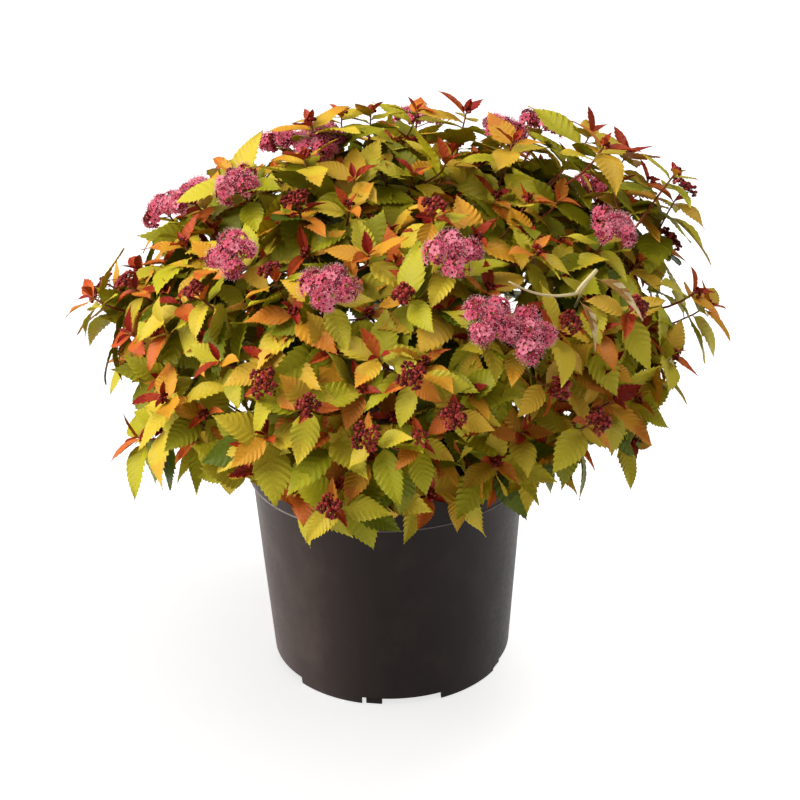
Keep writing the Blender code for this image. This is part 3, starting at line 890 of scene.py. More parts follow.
class Mass:
    """One bough, the stem of its mass of foliage, and the shoots that branch from it."""

    def __init__(
        self, name: str, heading: Vector, seat: Vector, share: float, crown: Crown
    ) -> None:
        """Works out the bough and the stem by the source's rule.

        Args:
            name: The mass's name.
            heading: Where the mass lies from the middle of the stem base.
            seat: Where the bough springs from the stem base.
            share: How much of the way to the crown's outline the bough covers.
            crown: The crown's form.
        """
        self.name = name
        self.heading = heading
        reach = crown.reach(heading)
        middle = UP * crown.stem.middle_height
        root = middle + seat * (crown.stem.radius + CLEARANCE)
        tip = middle + heading * reach * share
        arrive = (heading + UP * crown.skyward_limb).normalized()
        self.bough = arched(root, seat, tip, arrive, crown.bough_steps)
        start = tip + arrive * CLEARANCE
        end = middle + heading * reach * crown.stem_reach
        self.stem = arched(start, arrive, end, heading, crown.stem_steps)
        self.shoots: list[Shoot] = []


@dataclass
class Crown:
    """The crown's form and the seeded rule that its limbs grow by, as in the source."""

    stem: StemBase
    middle_height: float = 0.283
    radius: float = 0.188
    top_height: float = 0.394
    depth_below: float = 0.116
    skirt_front: float = -0.62
    skirt_side: float = -0.78
    shoot_count: int = 86
    shoot_spacing: float = 0.0365
    lean: float = 0.022
    clearance: float = 0.004
    nudge: float = 0.001
    nudges: int = 40
    search_steps: int = 24
    belt_steps: int = 200
    skyward_limb: float = 0.25
    skyward_shoot: float = 0.2
    stem_reach: float = 0.80
    first_share: float = 0.06
    shoot_lead: float = 0.9
    shoot_lean: float = 0.7
    bearing_jitter: float = 4.0
    elevation_jitter: float = 2.0
    seed: int = 41
    bough_steps: int = 14
    stem_steps: int = 9
    shoot_steps: int = 9
    growths: dict = field(default_factory=lambda: {
        Tip.LEAFY: 0.016, Tip.SPRIG: 0.026, Tip.DEAD: 0.0, Tip.BUD: 0.008, Tip.BLOOM: 0.008,
    })
    side_count: int = 270
    side_spacing: float = 0.0245
    side_shares: tuple = (0.25, 0.40, 0.55, 0.70)
    side_detour: float = 1.6
    side_lean: float = 0.8
    side_steps: int = 6
    side_scatter: tuple = (-0.014, 0.016)
    rings: tuple = (
        ("low", 8, -2.0, 15.0, 20.0, 0.62),
        ("middle", 8, 20.5, 41.0, 42.0, 0.46),
        ("upper", 5, 36.0, 66.0, 66.0, 0.46),
        ("top", 1, 0.0, 89.0, 89.0, 0.46),
    )
    sprigs: tuple = (
        (-83, 0.302, 0.198), (80, 0.300, 0.214), (83, 0.384, 0.198), (-85, 0.416, 0.046),
        (-78, 0.386, 0.100), (78, 0.406, 0.090), (80, 0.404, 0.150), (178, 0.300, 0.200),
        (-140, 0.330, 0.196), (136, 0.320, 0.196), (-74, 0.206, 0.170), (72, 0.200, 0.168),
    )
    blooms: tuple = (
        (-101, 0.358, 0.162), (-92, 0.376, 0.137), (-75, 0.394, 0.103), (-89, 0.413, 0.041),
        (-42, 0.372, 0.148), (-12, 0.368, 0.162), (18, 0.383, 0.150), (107, 0.413, 0.094),
        (122, 0.405, 0.141), (63, 0.376, 0.175), (21, 0.351, 0.191), (27, 0.341, 0.200),
        (145, 0.366, 0.179), (166, 0.400, 0.114), (-157, 0.382, 0.139), (-130, 0.340, 0.186),
        (126, 0.336, 0.205), (-178, 0.335, 0.196), (-123, 0.402, 0.086),
    )
    buds: tuple = (
        (-74, 0.335, 0.187), (-46, 0.353, 0.172), (-37, 0.400, 0.095), (19, 0.403, 0.108),
        (5, 0.326, 0.204), (-13, 0.308, 0.210), (6, 0.286, 0.212), (55, 0.336, 0.207),
        (88, 0.341, 0.207), (40, 0.274, 0.216), (-10, 0.236, 0.207), (110, 0.300, 0.212),
        (165, 0.290, 0.214), (-160, 0.270, 0.213), (-100, 0.300, 0.212),
    )
    more_buds: tuple = (
        (-91, 0.310, 0.216), (-30, 0.376, 0.150), (-18, 0.404, 0.092), (5, 0.372, 0.168),
        (12, 0.304, 0.216), (-22, 0.321, 0.207), (93, 0.358, 0.200), (86, 0.334, 0.224),
        (38, 0.346, 0.202), (80, 0.304, 0.232), (32, 0.311, 0.218), (90, 0.384, 0.222),
        (-3, 0.293, 0.218), (-88, 0.412, 0.112), (-80, 0.436, 0.052), (-68, 0.440, 0.030),
    )
    more_sprigs: tuple = (
        (0, 0.412, 0.015), (70, 0.414, 0.050), (-25, 0.412, 0.045), (140, 0.414, 0.040),
        (78, 0.262, 0.212), (68, 0.288, 0.222), (84, 0.396, 0.172), (96, 0.404, 0.140),
        (88, 0.350, 0.224), (85, 0.300, 0.242), (72, 0.236, 0.200), (101, 0.420, 0.160),
        (99, 0.403, 0.186), (98, 0.381, 0.204), (90, 0.368, 0.188), (90, 0.352, 0.208),
        (90, 0.334, 0.224), (106, 0.418, 0.178), (73, 0.284, 0.202), (74, 0.262, 0.214),
        (67, 0.250, 0.198), (-124, 0.440, 0.034), (153, 0.434, 0.060), (131, 0.430, 0.086),
        (20, 0.430, 0.020), (-170, 0.436, 0.040), (-60, 0.424, 0.062),
    )
    dead_fork: tuple = (46, 0.376, 0.200)
    dead_joint: tuple = (40.6, 0.3641, 0.1985)
    dead_arm: tuple = (25.6, 0.3822, 0.1920)
    dead_leaves: tuple = (
        ((45.5, 0.3710, 0.1995), (50.1, 0.3508, 0.2336)),
        ((41.0, 0.3600, 0.2000), (41.0, 0.3330, 0.2226)),
    )
    masses: list[Mass] = field(default_factory=list)

    def radius_at(self, height: float) -> float:
        """The crown's radius at a height, on the source's ellipsoid."""
        rise = height - self.middle_height
        half = self.top_height - self.middle_height if rise > 0.0 else self.depth_below
        return self.radius * math.sqrt(max(0.0, 1.0 - (rise / half) ** 2))

    def lean_at(self, height: float) -> float:
        """How far the crown's axis has moved towards +X at a height."""
        rise = max(0.0, height - self.middle_height)
        return self.lean * rise / (self.top_height - self.middle_height)

    def reach(self, heading: Vector) -> float:
        """The distance from the stem's middle to the ellipsoid along a heading."""
        near, far = 0.0, self.radius * 2.0
        for _ in range(self.search_steps):
            middle = (near + far) / 2.0
            point = UP * self.stem.middle_height + heading * middle
            inside = math.hypot(point.x, point.y) < self.radius_at(point.z)
            near, far = (middle, far) if inside else (near, middle)
        return near

    def grow_masses(self) -> None:
        """Every mass with its bough, ring by ring, in the source's random order."""
        rng = random.Random(self.seed)
        for name, count, first, elevation, seat, share in self.rings:
            for number in range(count):
                sway = rng.uniform(-self.bearing_jitter, self.bearing_jitter)
                lift = rng.uniform(-self.elevation_jitter, self.elevation_jitter)
                bearing = first + 360.0 / count * number + sway
                full_name = name if count == 1 else f"{name}_{number + 1}"
                heading = direction(bearing, elevation + lift)
                seated = direction(bearing, seat)
                self.masses.append(Mass(full_name, heading, seated, share, self))

    def owner(self, point: Vector) -> Mass:
        """The mass whose cone holds a point."""
        away = point - UP * self.stem.middle_height
        return max(self.masses, key=lambda mass: mass.heading.dot(away))

    def into_space(self, point: Vector, mass: Mass) -> Vector:
        """The point, moved towards the middle of its mass's cone until it has room.

        Args:
            point: Where a shoot would end.
            mass: The mass that it belongs to.

        Returns:
            Where the shoot ends.
        """
        middle = UP * self.stem.middle_height
        steps = [
            (mass.heading - other.heading).normalized()
            for other in self.masses if other is not mass
        ]
        for _ in range(self.nudges):
            if all((point - middle).dot(step) >= self.clearance for step in steps):
                break
            on_axis = middle + mass.heading * (point - middle).dot(mass.heading)
            point = point + (on_axis - point).normalized() * self.nudge
        return point

    def spread(self, count: int) -> list[Vector]:
        """Points at golden-angle turns, each with an equal share of the crown's area.

        Args:
            count: The number of points before the skirt's edge drops some.

        Returns:
            The points.
        """
        belts: list[tuple[float, float, float, float]] = []
        area = 0.0
        for step in range(self.belt_steps + 1):
            sine = 1.0 - (1.0 - self.skirt_side) * step / self.belt_steps
            half = self.top_height - self.middle_height if sine > 0.0 else self.depth_below
            height = self.middle_height + half * sine
            radius = self.radius_at(height)
            if belts:
                slope = math.hypot(radius - belts[-1][1], height - belts[-1][0])
                area += slope * (radius + belts[-1][1]) / 2.0
            belts.append((height, radius, area, sine))
        chosen = []
        for number in range(count):
            wanted = area * (number + 0.5) / count
            height, radius, _, sine = next(belt for belt in belts if belt[2] >= wanted)
            turn = GOLDEN_ANGLE * number
            lift = max(0.0, math.cos(turn))
            if sine >= self.skirt_side + (self.skirt_front - self.skirt_side) * lift:
                point = place(math.degrees(turn), height, radius)
                chosen.append(point + Vector((self.lean_at(height), 0.0, 0.0)))
        return chosen

    def targets(self) -> list[tuple[Vector, Tip]]:
        """Where the source's shoots end: sprigs, heads, an even spread, and the dead twig."""
        chosen = [(place(*sprig), Tip.SPRIG) for sprig in self.sprigs]
        for tip, heads in ((Tip.BLOOM, self.blooms), (Tip.BUD, self.buds)):
            chosen += [(place(*spot), tip) for spot in heads]
        for point in self.spread(self.shoot_count):
            if all((point - other).length > self.shoot_spacing for other, _ in chosen):
                chosen.append((point, Tip.LEAFY))
        return [*chosen, (place(*self.dead_fork), Tip.DEAD)]

    def outward(self, point: Vector) -> Vector:
        """The heading of a shoot where it reaches a point of the crown."""
        away = (point - UP * (self.middle_height - self.depth_below)).normalized()
        return (away + UP * self.skyward_shoot).normalized()

    def grow_shoot(self, mass: Mass, target: Vector, tip: Tip) -> None:
        """Grows one main shoot from the mass's stem, by the source's rule and a little on."""
        target = self.into_space(target, mass)
        target = target + self.outward(target) * self.growths[tip]
        start, end = mass.stem[0], mass.stem[-1]
        axis = (end - start).normalized()
        ahead = (target - start).dot(axis)
        aside = (target - start - axis * ahead).length
        share = (ahead - aside * self.shoot_lead) / (end - start).length
        share = min(1.0, max(self.first_share, share))
        root, _ = along(mass.stem, share)
        leave = ((target - root).normalized() + axis * self.shoot_lean).normalized()
        path = arched(root, leave, target, self.outward(target), self.shoot_steps)
        mass.shoots.append(Shoot(path, tip, 1))

    def grow_side_twig(self, mass: Mass, target: Vector, tip: Tip) -> None:
        """Grows a finer twig from the nearest shoot of its mass, or from the mass's stem."""
        sources = [s.path for s in mass.shoots if s.rank == 1 and s.tip is not Tip.DEAD]
        sources = sources or [mass.stem]
        roots = [along(path, share) for path in sources for share in self.side_shares]

        def detour(start: tuple[Vector, Vector]) -> float:
            """The way from a start to the target, longer the more it turns off its heading."""
            way = target - start[0]
            return way.length * (self.side_detour - way.normalized().dot(start[1]))

        root, ahead = min(roots, key=detour)
        leave = ((target - root).normalized() + ahead * self.side_lean).normalized()
        path = arched(root, leave, target, self.outward(target), self.side_steps)
        mass.shoots.append(Shoot(path, tip, 2))

    def grow(self) -> None:
        """Grows the masses, the source's shoots, and the side twigs between them."""
        self.grow_masses()
        for target, tip in self.targets():
            self.grow_shoot(self.owner(target), target, tip)
        taken = [shoot.path[-1] for mass in self.masses for shoot in mass.shoots]
        heads = [(place(*spot), Tip.BUD) for spot in self.more_buds]
        heads += [(place(*spot), Tip.LEAFY) for spot in self.more_sprigs]
        rng = random.Random(self.seed + 1)
        for point in self.spread(self.side_count):
            scatter = rng.uniform(*self.side_scatter)
            heads.append((point + self.outward(point) * scatter, Tip.LEAFY))
        for point, tip in heads:
            if all((point - other).length > self.side_spacing for other in taken):
                taken.append(point)
                self.grow_side_twig(self.owner(point), point, tip)


@dataclass
class BarkLimbs:
    """Boughs with bark in relief: fine ridges along each limb, and swollen nodes."""

    radii: tuple[float, float] = (0.0031, 0.0019)
    sides: int = 12
    ridge: float = 0.10
    node_swell: float = 0.16
    node_count: int = 5
    node_sharpness: int = 4
    grain_draw: float = 0.4
    grain_scale: float = 900.0

    def build(self, mass: Mass, finish: bpy.types.Material) -> bpy.types.Object:
        """One dressed bough, in place of the frame's."""
        bm = bmesh.new()
        rings = grow_limb(bm, mass.bough, self.radii, self.sides)
        for number, (ring, centre) in enumerate(zip(rings, mass.bough)):
            share = number / (len(rings) - 1)
            beat = max(0.0, math.cos(share * math.tau * self.node_count))
            swell = self.node_swell * beat ** self.node_sharpness
            for vert in ring:
                drawn = Vector((vert.co.x, vert.co.y, vert.co.z * self.grain_draw))
                grain = noise.noise(drawn * self.grain_scale)
                vert.co += (vert.co - centre) * (self.ridge * grain + swell)
        bough = new_object(f"bark_{mass.name}", mesh_from(bm, f"bark_{mass.name}"), [finish])
        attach(bough, "root")
        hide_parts(f"bough_{mass.name}")
        return bough


@dataclass(frozen=True)
class LeafForm:
    """How a leaf is formed, its sizes as shares of its own length."""

    half_width: float = 0.26
    widest: float = 0.38
    tip_power: float = 1.42
    veins: int = 9
    slant: float = 0.38
    fold: float = 0.34
    curl: float = 0.36
    twist: float = 0.0
    wave: float = 0.018
    pleat: float = 0.0115
    cup: float = 0.20
    phase: float = 0.0
    petiole: float = 0.05
    flush_from: float = 0.62
    flush_edge: float = 0.80
    columns: int = 4
    slant_ease: float = 0.10
    toothed_from: float = 0.9
    pleat_ramp: float = 1.6
    waves: float = 1.4
    merge: float = 0.0005

    def half(self, share: float) -> float:
        """The half-width at a share of the length: ovate, with a drawn-out point."""
        if not 0.0 < share < 1.0:
            return 0.0
        base_power = self.tip_power * self.widest / (1.0 - self.widest)
        rise = (share / self.widest) ** base_power
        return self.half_width * rise * ((1.0 - share) / (1.0 - self.widest)) ** self.tip_power

    def template(self) -> Template:
        """The leaf as a grid drawn to its outline: sunk along its veins, with a tooth and a
        smaller one at each, folded on its midrib and curled down towards its point."""
        groove = (-1.0, 0.55, 0.60)
        edge_out = (0.065, -0.055, 0.01)
        edge_ahead = (0.50, -0.30, 0.20)
        rows = self.veins * len(groove)
        bm = bmesh.new()
        bmesh.ops.create_grid(bm, x_segments=self.columns, y_segments=rows, size=1.0)
        for vert in bm.verts:
            across, row = vert.co.x, round((vert.co.y + 1.0) / 2.0 * rows)
            side, base = abs(across), row / rows
            share = base + self.slant * side * (1.0 - base) * base / (base + self.slant_ease)
            width = self.half(share) * across
            kind = row % len(groove)
            if side > self.toothed_from and 0 < row < rows:
                width *= 1.0 + edge_out[kind]
                share += edge_ahead[kind] / rows
            fullness = self.half(share) / self.half_width
            lift = side * fullness * self.fold * self.half_width
            lift += self.pleat * groove[kind] * min(1.0, side * self.pleat_ramp) * fullness
            lift -= self.cup * side * side * self.half_width * fullness
            angle = math.tau * self.waves * share + self.phase + across
            lift += self.wave * side * side * math.sin(angle)
            turn = self.twist * share
            width, lift = (
                width * math.cos(turn) - lift * math.sin(turn),
                width * math.sin(turn) + lift * math.cos(turn),
            )
            bend = self.curl * share
            vert.co.x = width
            vert.co.y = self.petiole + math.sin(bend) / self.curl + lift * math.sin(bend)
            vert.co.z = -(1.0 - math.cos(bend)) / self.curl + lift * math.cos(bend)
        for face in bm.faces:
            middle = face.calc_center_median()
            near_edge = abs(middle.x) > self.half(middle.y - self.petiole) * self.flush_edge
            face.material_index = int(middle.y > self.flush_from or near_edge)
        bmesh.ops.remove_doubles(bm, verts=bm.verts, dist=self.merge)
        return Template(bm)


@dataclass
class Foliage:
    """The leaves and twigs of the masses."""

    tip_distances: tuple = (
        0.0005, 0.001, 0.002, 0.003, 0.005, 0.008, 0.013, 0.020, 0.029, 0.040, 0.053, 0.068, 0.086,
    )
    lengths: tuple = (
        0.012, 0.017, 0.023, 0.030, 0.036, 0.040, 0.043, 0.045, 0.046, 0.046, 0.044, 0.042, 0.040,
    )
    spreads: tuple = (
        30.0, 42.0, 54.0, 64.0, 71.0, 76.0, 80.0, 84.0, 87.0, 89.0, 91.0, 92.0, 92.0,
    )
    ripeness: tuple = (
        0.97, 0.93, 0.83, 0.67, 0.56, 0.50, 0.43, 0.36, 0.28, 0.20, 0.13, 0.08, 0.04,
    )
    leafy_share: float = 0.86
    headed_gap: float = 0.009
    headed_spread: float = 12.0
    young_count: int = 3
    flush_share: float = 0.30
    vigours: tuple = (0.80, 1.16)
    size_jitter: tuple = (0.85, 1.12)
    warmth_jitter: float = 0.08
    ripe_jitter: float = 0.05
    turn_jitter: float = 0.25
    spread_jitter: float = 9.0
    skirt_bearings: tuple = (
        -180.0, -75.0, -60.0, -47.0, -26.0, -17.0, 0.0, 12.0, 34.0, 58.0, 77.0, 180.0,
    )
    skirt_heights: tuple = (
        0.145, 0.145, 0.155, 0.212, 0.208, 0.155, 0.166, 0.160, 0.172, 0.164, 0.155, 0.145,
    )
    skirt_ragged: float = 0.006
    skirt_rise: float = 0.46
    skirt_front: float = 0.125
    head_room: float = 0.017
    sprig_bare_from: float = 0.034
    hang: float = 0.42
    sag: float = 0.07
    full_sag_at: float = 4.0
    skyward: float = 0.70
    restless: float = 0.38
    upright: float = 0.98
    petiole_radius: float = 0.0005
    petiole_share: float = 0.09
    young_petiole: float = 0.7
    petiole_taper: float = 0.8
    main_radii: tuple = (0.0013, 0.0008)
    side_radii: tuple = (0.0009, 0.0006)
    stem_radii: tuple = (0.0019, 0.0013)
    pot_radius: float = 0.116
    pot_height: float = 0.194
    forms: tuple = (
        LeafForm(),
        LeafForm(curl=0.15, fold=0.42, phase=1.4, twist=0.12),
        LeafForm(curl=0.60, fold=0.32, phase=2.6, twist=-0.15),
        LeafForm(half_width=0.29, curl=0.30, fold=0.28, phase=3.9, cup=0.26),
        LeafForm(half_width=0.24, curl=0.50, fold=0.50, phase=5.0, twist=0.2),
        LeafForm(half_width=0.27, curl=0.75, fold=0.36, phase=0.7, twist=-0.1),
        LeafForm(half_width=0.25, curl=0.22, fold=0.34, phase=2.0, wave=0.030, veins=10),
    )
    young_forms: tuple = (
        LeafForm(half_width=0.20, veins=5, curl=0.30, fold=0.60, widest=0.40, cup=0.0),
        LeafForm(half_width=0.17, veins=5, curl=0.55, fold=0.75, widest=0.42, cup=0.0, twist=0.3),
        LeafForm(half_width=0.22, veins=5, curl=0.12, fold=0.45, widest=0.40, cup=0.0),
    )
    crease: float = 38.0

    def __post_init__(self) -> None:
        """Makes the templates once."""
        self.grown = [form.template() for form in self.forms]
        self.young = [form.template() for form in self.young_forms]
        self.stalk = stalk_template(self.petiole_taper)

    def meets_pot(self, points: Sequence[Vector]) -> bool:
        """Whether any of some points lies in or over the pot, below the rim's level."""
        return any(
            math.hypot(p.x, p.y) < self.pot_radius and p.z < self.pot_height for p in points
        )

    def lowest(self, point: Vector) -> float:
        """How low a leaf may hang: the skirt is higher over the front, and further out there."""
        bearing = math.degrees(math.atan2(point.x, -point.y))
        rise = self.skirt_rise * max(0.0, -point.y - self.skirt_front)
        return float(np.interp(bearing, self.skirt_bearings, self.skirt_heights)) + rise

    def covers(self, middle: Vector, end: Vector, blooms: Sequence[Vector]) -> bool:
        """Whether a leaf's middle or point lies among the flowers of any head."""
        return any(min((middle - b).length, (end - b).length) < self.head_room for b in blooms)

    def grow_spray(
        self, shoot: Shoot, rng: random.Random, leaves: Batch, petioles: Batch,
        blooms: Sequence[Vector],
    ) -> None:
        """Grows the leaves of one shoot in a golden-angle spiral, from its tip down.

        Args:
            shoot: The shoot.
            rng: The mass's own random source.
            leaves: Takes the blades.
            petioles: Takes the stalks.
            blooms: The middles of the flower heads, which stay clear.
        """
        length = sum((b - a).length for a, b in zip(shoot.path, shoot.path[1:]))
        vigour = rng.uniform(*self.vigours)
        warmth = rng.gauss(0.0, self.warmth_jitter)
        turn = rng.uniform(0.0, math.tau)
        headed = shoot.tip in (Tip.BUD, Tip.BLOOM)
        gap = self.headed_gap if headed else 0.0
        last = len(LeafTint) - 1
        for number, distance in enumerate(self.tip_distances):
            bare = shoot.tip is Tip.SPRIG and distance > self.sprig_bare_from
            too_far = distance + gap > length * self.leafy_share
            if bare or too_far or (headed and number == 0):
                continue
            turn += GOLDEN_ANGLE + rng.uniform(-self.turn_jitter, self.turn_jitter)
            base, ahead = along(shoot.path, 1.0 - (distance + gap) / length)
            side = Matrix.Rotation(turn, 3, ahead) @ ahead.orthogonal().normalized()
            spread = self.spreads[number] + rng.uniform(-self.spread_jitter, self.spread_jitter)
            slant = math.radians(spread + (self.headed_spread if headed else 0.0))
            heading = ahead * math.cos(slant) + side * math.sin(slant)
            size = self.lengths[number] * vigour * rng.uniform(*self.size_jitter)
            heading -= UP * self.sag * min(1.0, number / self.full_sag_at)
            heading.normalize()
            up = (ahead + UP * self.skyward + stray(rng, 1.0) * self.restless).normalized()
            if abs(up.dot(heading)) > self.upright:
                up = side
            top = (up - heading * up.dot(heading)).normalized()
            end = base + (heading - top * self.hang) * size
            middle = base + heading * size * 0.5
            lowest = self.lowest(end) + rng.uniform(-self.skirt_ragged, self.skirt_ragged)
            if end.z < lowest or self.meets_pot((middle, end)) or self.covers(middle, end, blooms):
                continue
            ripe = self.ripeness[number] + warmth + rng.gauss(0.0, self.ripe_jitter)
            body = min(last, max(0, round(ripe * last)))
            flush = min(last, body + (1 if rng.random() < self.flush_share else 0))
            young = number < self.young_count
            template = rng.choice(self.young if young else self.grown)
            leaves.add(
                template, np.array(base), axes_along(heading, top, size), (body, flush)
            )
            thick = self.petiole_radius * (self.young_petiole if young else 1.0)
            axes = axes_along(heading, top, 1.0)
            axes = axes * np.array((thick, size * self.petiole_share, thick))[:, None]
            petioles.add(self.stalk, np.array(base), axes, (order(StemTint.GREEN),))


@dataclass
class HeadForm:
    """The corymbs: bunches of buds and of open flowers on fine stalks."""

    petal_length: float = 0.0032
    petal_width: float = 0.0030
    petal_count: int = 5
    petal_foot: float = 0.0006
    petal_notch: float = 0.12
    petal_cup: float = 0.0005
    petal_rise: float = 0.0008
    petal_fall: float = 0.0005
    eye_radius: float = 0.00080
    eye_height: float = 0.0004
    stamen_length: float = 0.0050
    stamen_count: int = 10
    filament_radii: tuple[float, float] = (0.00011, 0.00008)
    anther_size: tuple[float, float] = (0.00032, 0.0006)
    flowers_per_bunch: int = 16
    bunches: int = 5
    bunch_radius: float = 0.0070
    bunch_jitter: tuple[float, float] = (0.80, 1.25)
    bunch_rise: tuple[float, float] = (0.001, 0.005)
    bunch_lean: float = 0.55
    bunch_angle: float = 88.0
    middle_rise: float = 0.006
    head_spread: float = 0.0105
    head_foot: float = 0.004
    head_stalks: tuple[float, float] = (0.0005, 0.00022)
    flower_scatter: float = 0.0012
    flower_sway: float = 0.22
    flower_jitter: tuple[float, float] = (0.85, 1.08)
    petal_weights: tuple[int, int, int] = (3, 6, 3)
    shut_share: float = 0.16
    shut_sizes: tuple[float, float] = (0.0010, 0.0014)
    small_below: float = 0.007
    small_reach: float = 0.75
    small_count: int = 12
    bud_bunches: int = 5
    bud_reach: float = 0.40
    bud_count: int = 13
    bud_angle: float = 95.0
    bud_middle_rise: float = 0.35
    bud_spread: float = 0.62
    bud_rise: tuple[float, float] = (0.1, 0.4)
    bud_lean: float = 0.6
    bud_foot: float = 0.003
    bud_stalks: tuple[float, float] = (0.0004, 0.0002)
    bud_scatter: float = 0.0007
    bud_weights: tuple[int, int, int] = (4, 5, 2)
    bud_sizes: tuple[float, float] = (0.0011, 0.0017)
    stalk_taper: float = 0.7
    stalk_side: tuple[float, float, float] = (0.3, 0.2, 1.0)

    def __post_init__(self) -> None:
        """Makes the templates once."""
        self.flower = self.flower_template()
        ball = bmesh.new()
        bmesh.ops.create_icosphere(ball, subdivisions=1, radius=1.0)
        self.bud = Template(ball)
        self.stalk = stalk_template(self.stalk_taper)

    def flower_template(self) -> Template:
        """One flower facing +Z: five round petals, a sunken eye, and long stamens."""
        bm = bmesh.new()
        for number in range(self.petal_count):
            petal = bmesh.ops.create_grid(bm, x_segments=2, y_segments=2, size=1.0)["verts"]
            for vert in petal:
                across, share = vert.co.x, (vert.co.y + 1.0) / 2.0
                roundness = 0.35 + 0.65 * math.sin(math.pi * (0.15 + 0.6 * share))
                width = self.petal_width / 2.0 * roundness
                notched = share - self.petal_notch * share * across * across
                distance = self.petal_foot + self.petal_length * notched
                cup = self.petal_cup * across * across + self.petal_rise * share
                cup -= self.petal_fall * share * share
                vert.co = Vector((across * width, distance, cup))
            turn = Matrix.Rotation(math.tau * number / self.petal_count, 3, "Z")
            bmesh.ops.rotate(bm, matrix=turn, cent=(0.0, 0.0, 0.0), verts=petal)
        eye = bmesh.ops.create_uvsphere(
            bm, u_segments=6, v_segments=3, radius=self.eye_radius,
            matrix=Matrix.Translation((0.0, 0.0, self.eye_height)),
        )["verts"]
        for face in {f for v in eye for f in v.link_faces}:
            face.material_index = 1
        for number in range(self.stamen_count):
            turn = math.tau * number / self.stamen_count
            lean = math.radians(30.0 + 22.0 * (number % 3))
            heading = Vector(
                (math.cos(turn) * math.sin(lean), math.sin(turn) * math.sin(lean), math.cos(lean))
            )
            rotation = UP.rotation_difference(heading).to_matrix().to_4x4()
            length = self.stamen_length * (0.8 + 0.1 * (number % 3))
            foot, top = self.filament_radii
            filament = bmesh.ops.create_cone(
                bm, cap_ends=False, segments=3, radius1=foot, radius2=top, depth=length,
                matrix=rotation @ Matrix.Translation((0.0, 0.0, length / 2.0)),
            )["verts"]
            radius, height = self.anther_size
            anther = bmesh.ops.create_cone(
                bm, cap_ends=True, segments=3, radius1=radius, radius2=0.0, depth=height,
                matrix=rotation @ Matrix.Translation((0.0, 0.0, length)),
            )["verts"]
            for verts, zone in ((filament, 2), (anther, 3)):
                for face in {f for v in verts for f in v.link_faces}:
                    face.material_index = zone
        return Template(bm)

    def add_stalk(self, stalks: Batch, start: Vector, end: Vector, radius: float) -> None:
        """Adds one fine stalk between two points."""
        axes = axes_along(end - start, Vector(self.stalk_side), 1.0)
        axes = axes * np.array((radius, (end - start).length, radius))[:, None]
        stalks.add(self.stalk, np.array(start), axes, (order(StemTint.RED_BROWN),))

    def dome(self, centre: Vector, axis: Vector, radius: float, count: int, widest: float) -> list:
        """Points on a dome with their headings, at golden-angle turns.

        Args:
            centre: The dome's middle.
            axis: The heading of its top.
            radius: Its radius.
            count: The number of points.
            widest: The angle from the axis that they reach, in degrees.

        Returns:
            The points, each with its heading.
        """
        turn = UP.rotation_difference(axis)
        made = []
        for number in range(count):
            rise = 1.0 - (1.0 - math.cos(math.radians(widest))) * (number + 0.5) / count
            flat = math.sqrt(max(0.0, 1.0 - rise * rise))
            angle = GOLDEN_ANGLE * number
            heading = turn @ Vector((flat * math.cos(angle), flat * math.sin(angle), rise))
            made.append((centre + heading * radius, heading))
        return made

    def grow_bloom(
        self, tip: Vector, axis: Vector, rng: random.Random, flowers: Batch, buds: Batch,
        stalks: Batch,
    ) -> None:
        """Grows one head in flower at the tip of a shoot, some of its buds still shut.

        Args:
            tip: The shoot's tip.
            axis: The shoot's heading there.
            rng: The mass's own random source.
            flowers: Takes the open flowers.
            buds: Takes the buds.
            stalks: Takes the stalks.
        """
        rest = rng.uniform(0.0, math.tau)
        level = axis.orthogonal().normalized()
        for bunch in range(self.bunches):
            if bunch:
                angle = rest + math.tau * bunch / (self.bunches - 1)
                lean = Matrix.Rotation(angle, 3, axis) @ level
                centre = tip + lean * self.head_spread + axis * rng.uniform(*self.bunch_rise)
                facing = (axis + lean * self.bunch_lean).normalized()
            else:
                centre, facing = tip + axis * self.middle_rise, axis
            size = self.bunch_radius * rng.uniform(*self.bunch_jitter)
            self.add_stalk(stalks, tip - axis * self.head_foot, centre, self.head_stalks[0])
            spots = self.dome(centre, facing, size, self.flowers_per_bunch, self.bunch_angle)
            for point, heading in spots:
                point = point + heading * rng.uniform(-self.flower_scatter, self.flower_scatter)
                self.add_stalk(stalks, centre, point, self.head_stalks[1])
                spin = stray(rng, 1.0)
                if rng.random() < self.shut_share:
                    axes = np.eye(3) * rng.uniform(*self.shut_sizes)
                    buds.add(self.bud, np.array(point), axes, (order(BudTint.ROSE),))
                    continue
                facing_out = (heading + spin * self.flower_sway).normalized()
                side = facing_out.cross(spin).normalized()
                ahead = facing_out.cross(side)
                axes = np.array((tuple(side), tuple(ahead), tuple(facing_out)))
                axes[0] *= -1.0 if np.linalg.det(axes) < 0.0 else 1.0
                petal = rng.choices(
                    (PetalTint.PALE_PINK, PetalTint.PINK, PetalTint.DEEP_PINK), self.petal_weights
                )[0]
                flowers.add(
                    self.flower, np.array(point), axes * rng.uniform(*self.flower_jitter),
                    (order(petal), order(PetalTint.EYE), order(PetalTint.PALE_PINK),
                     order(PetalTint.ANTHER)),
                )

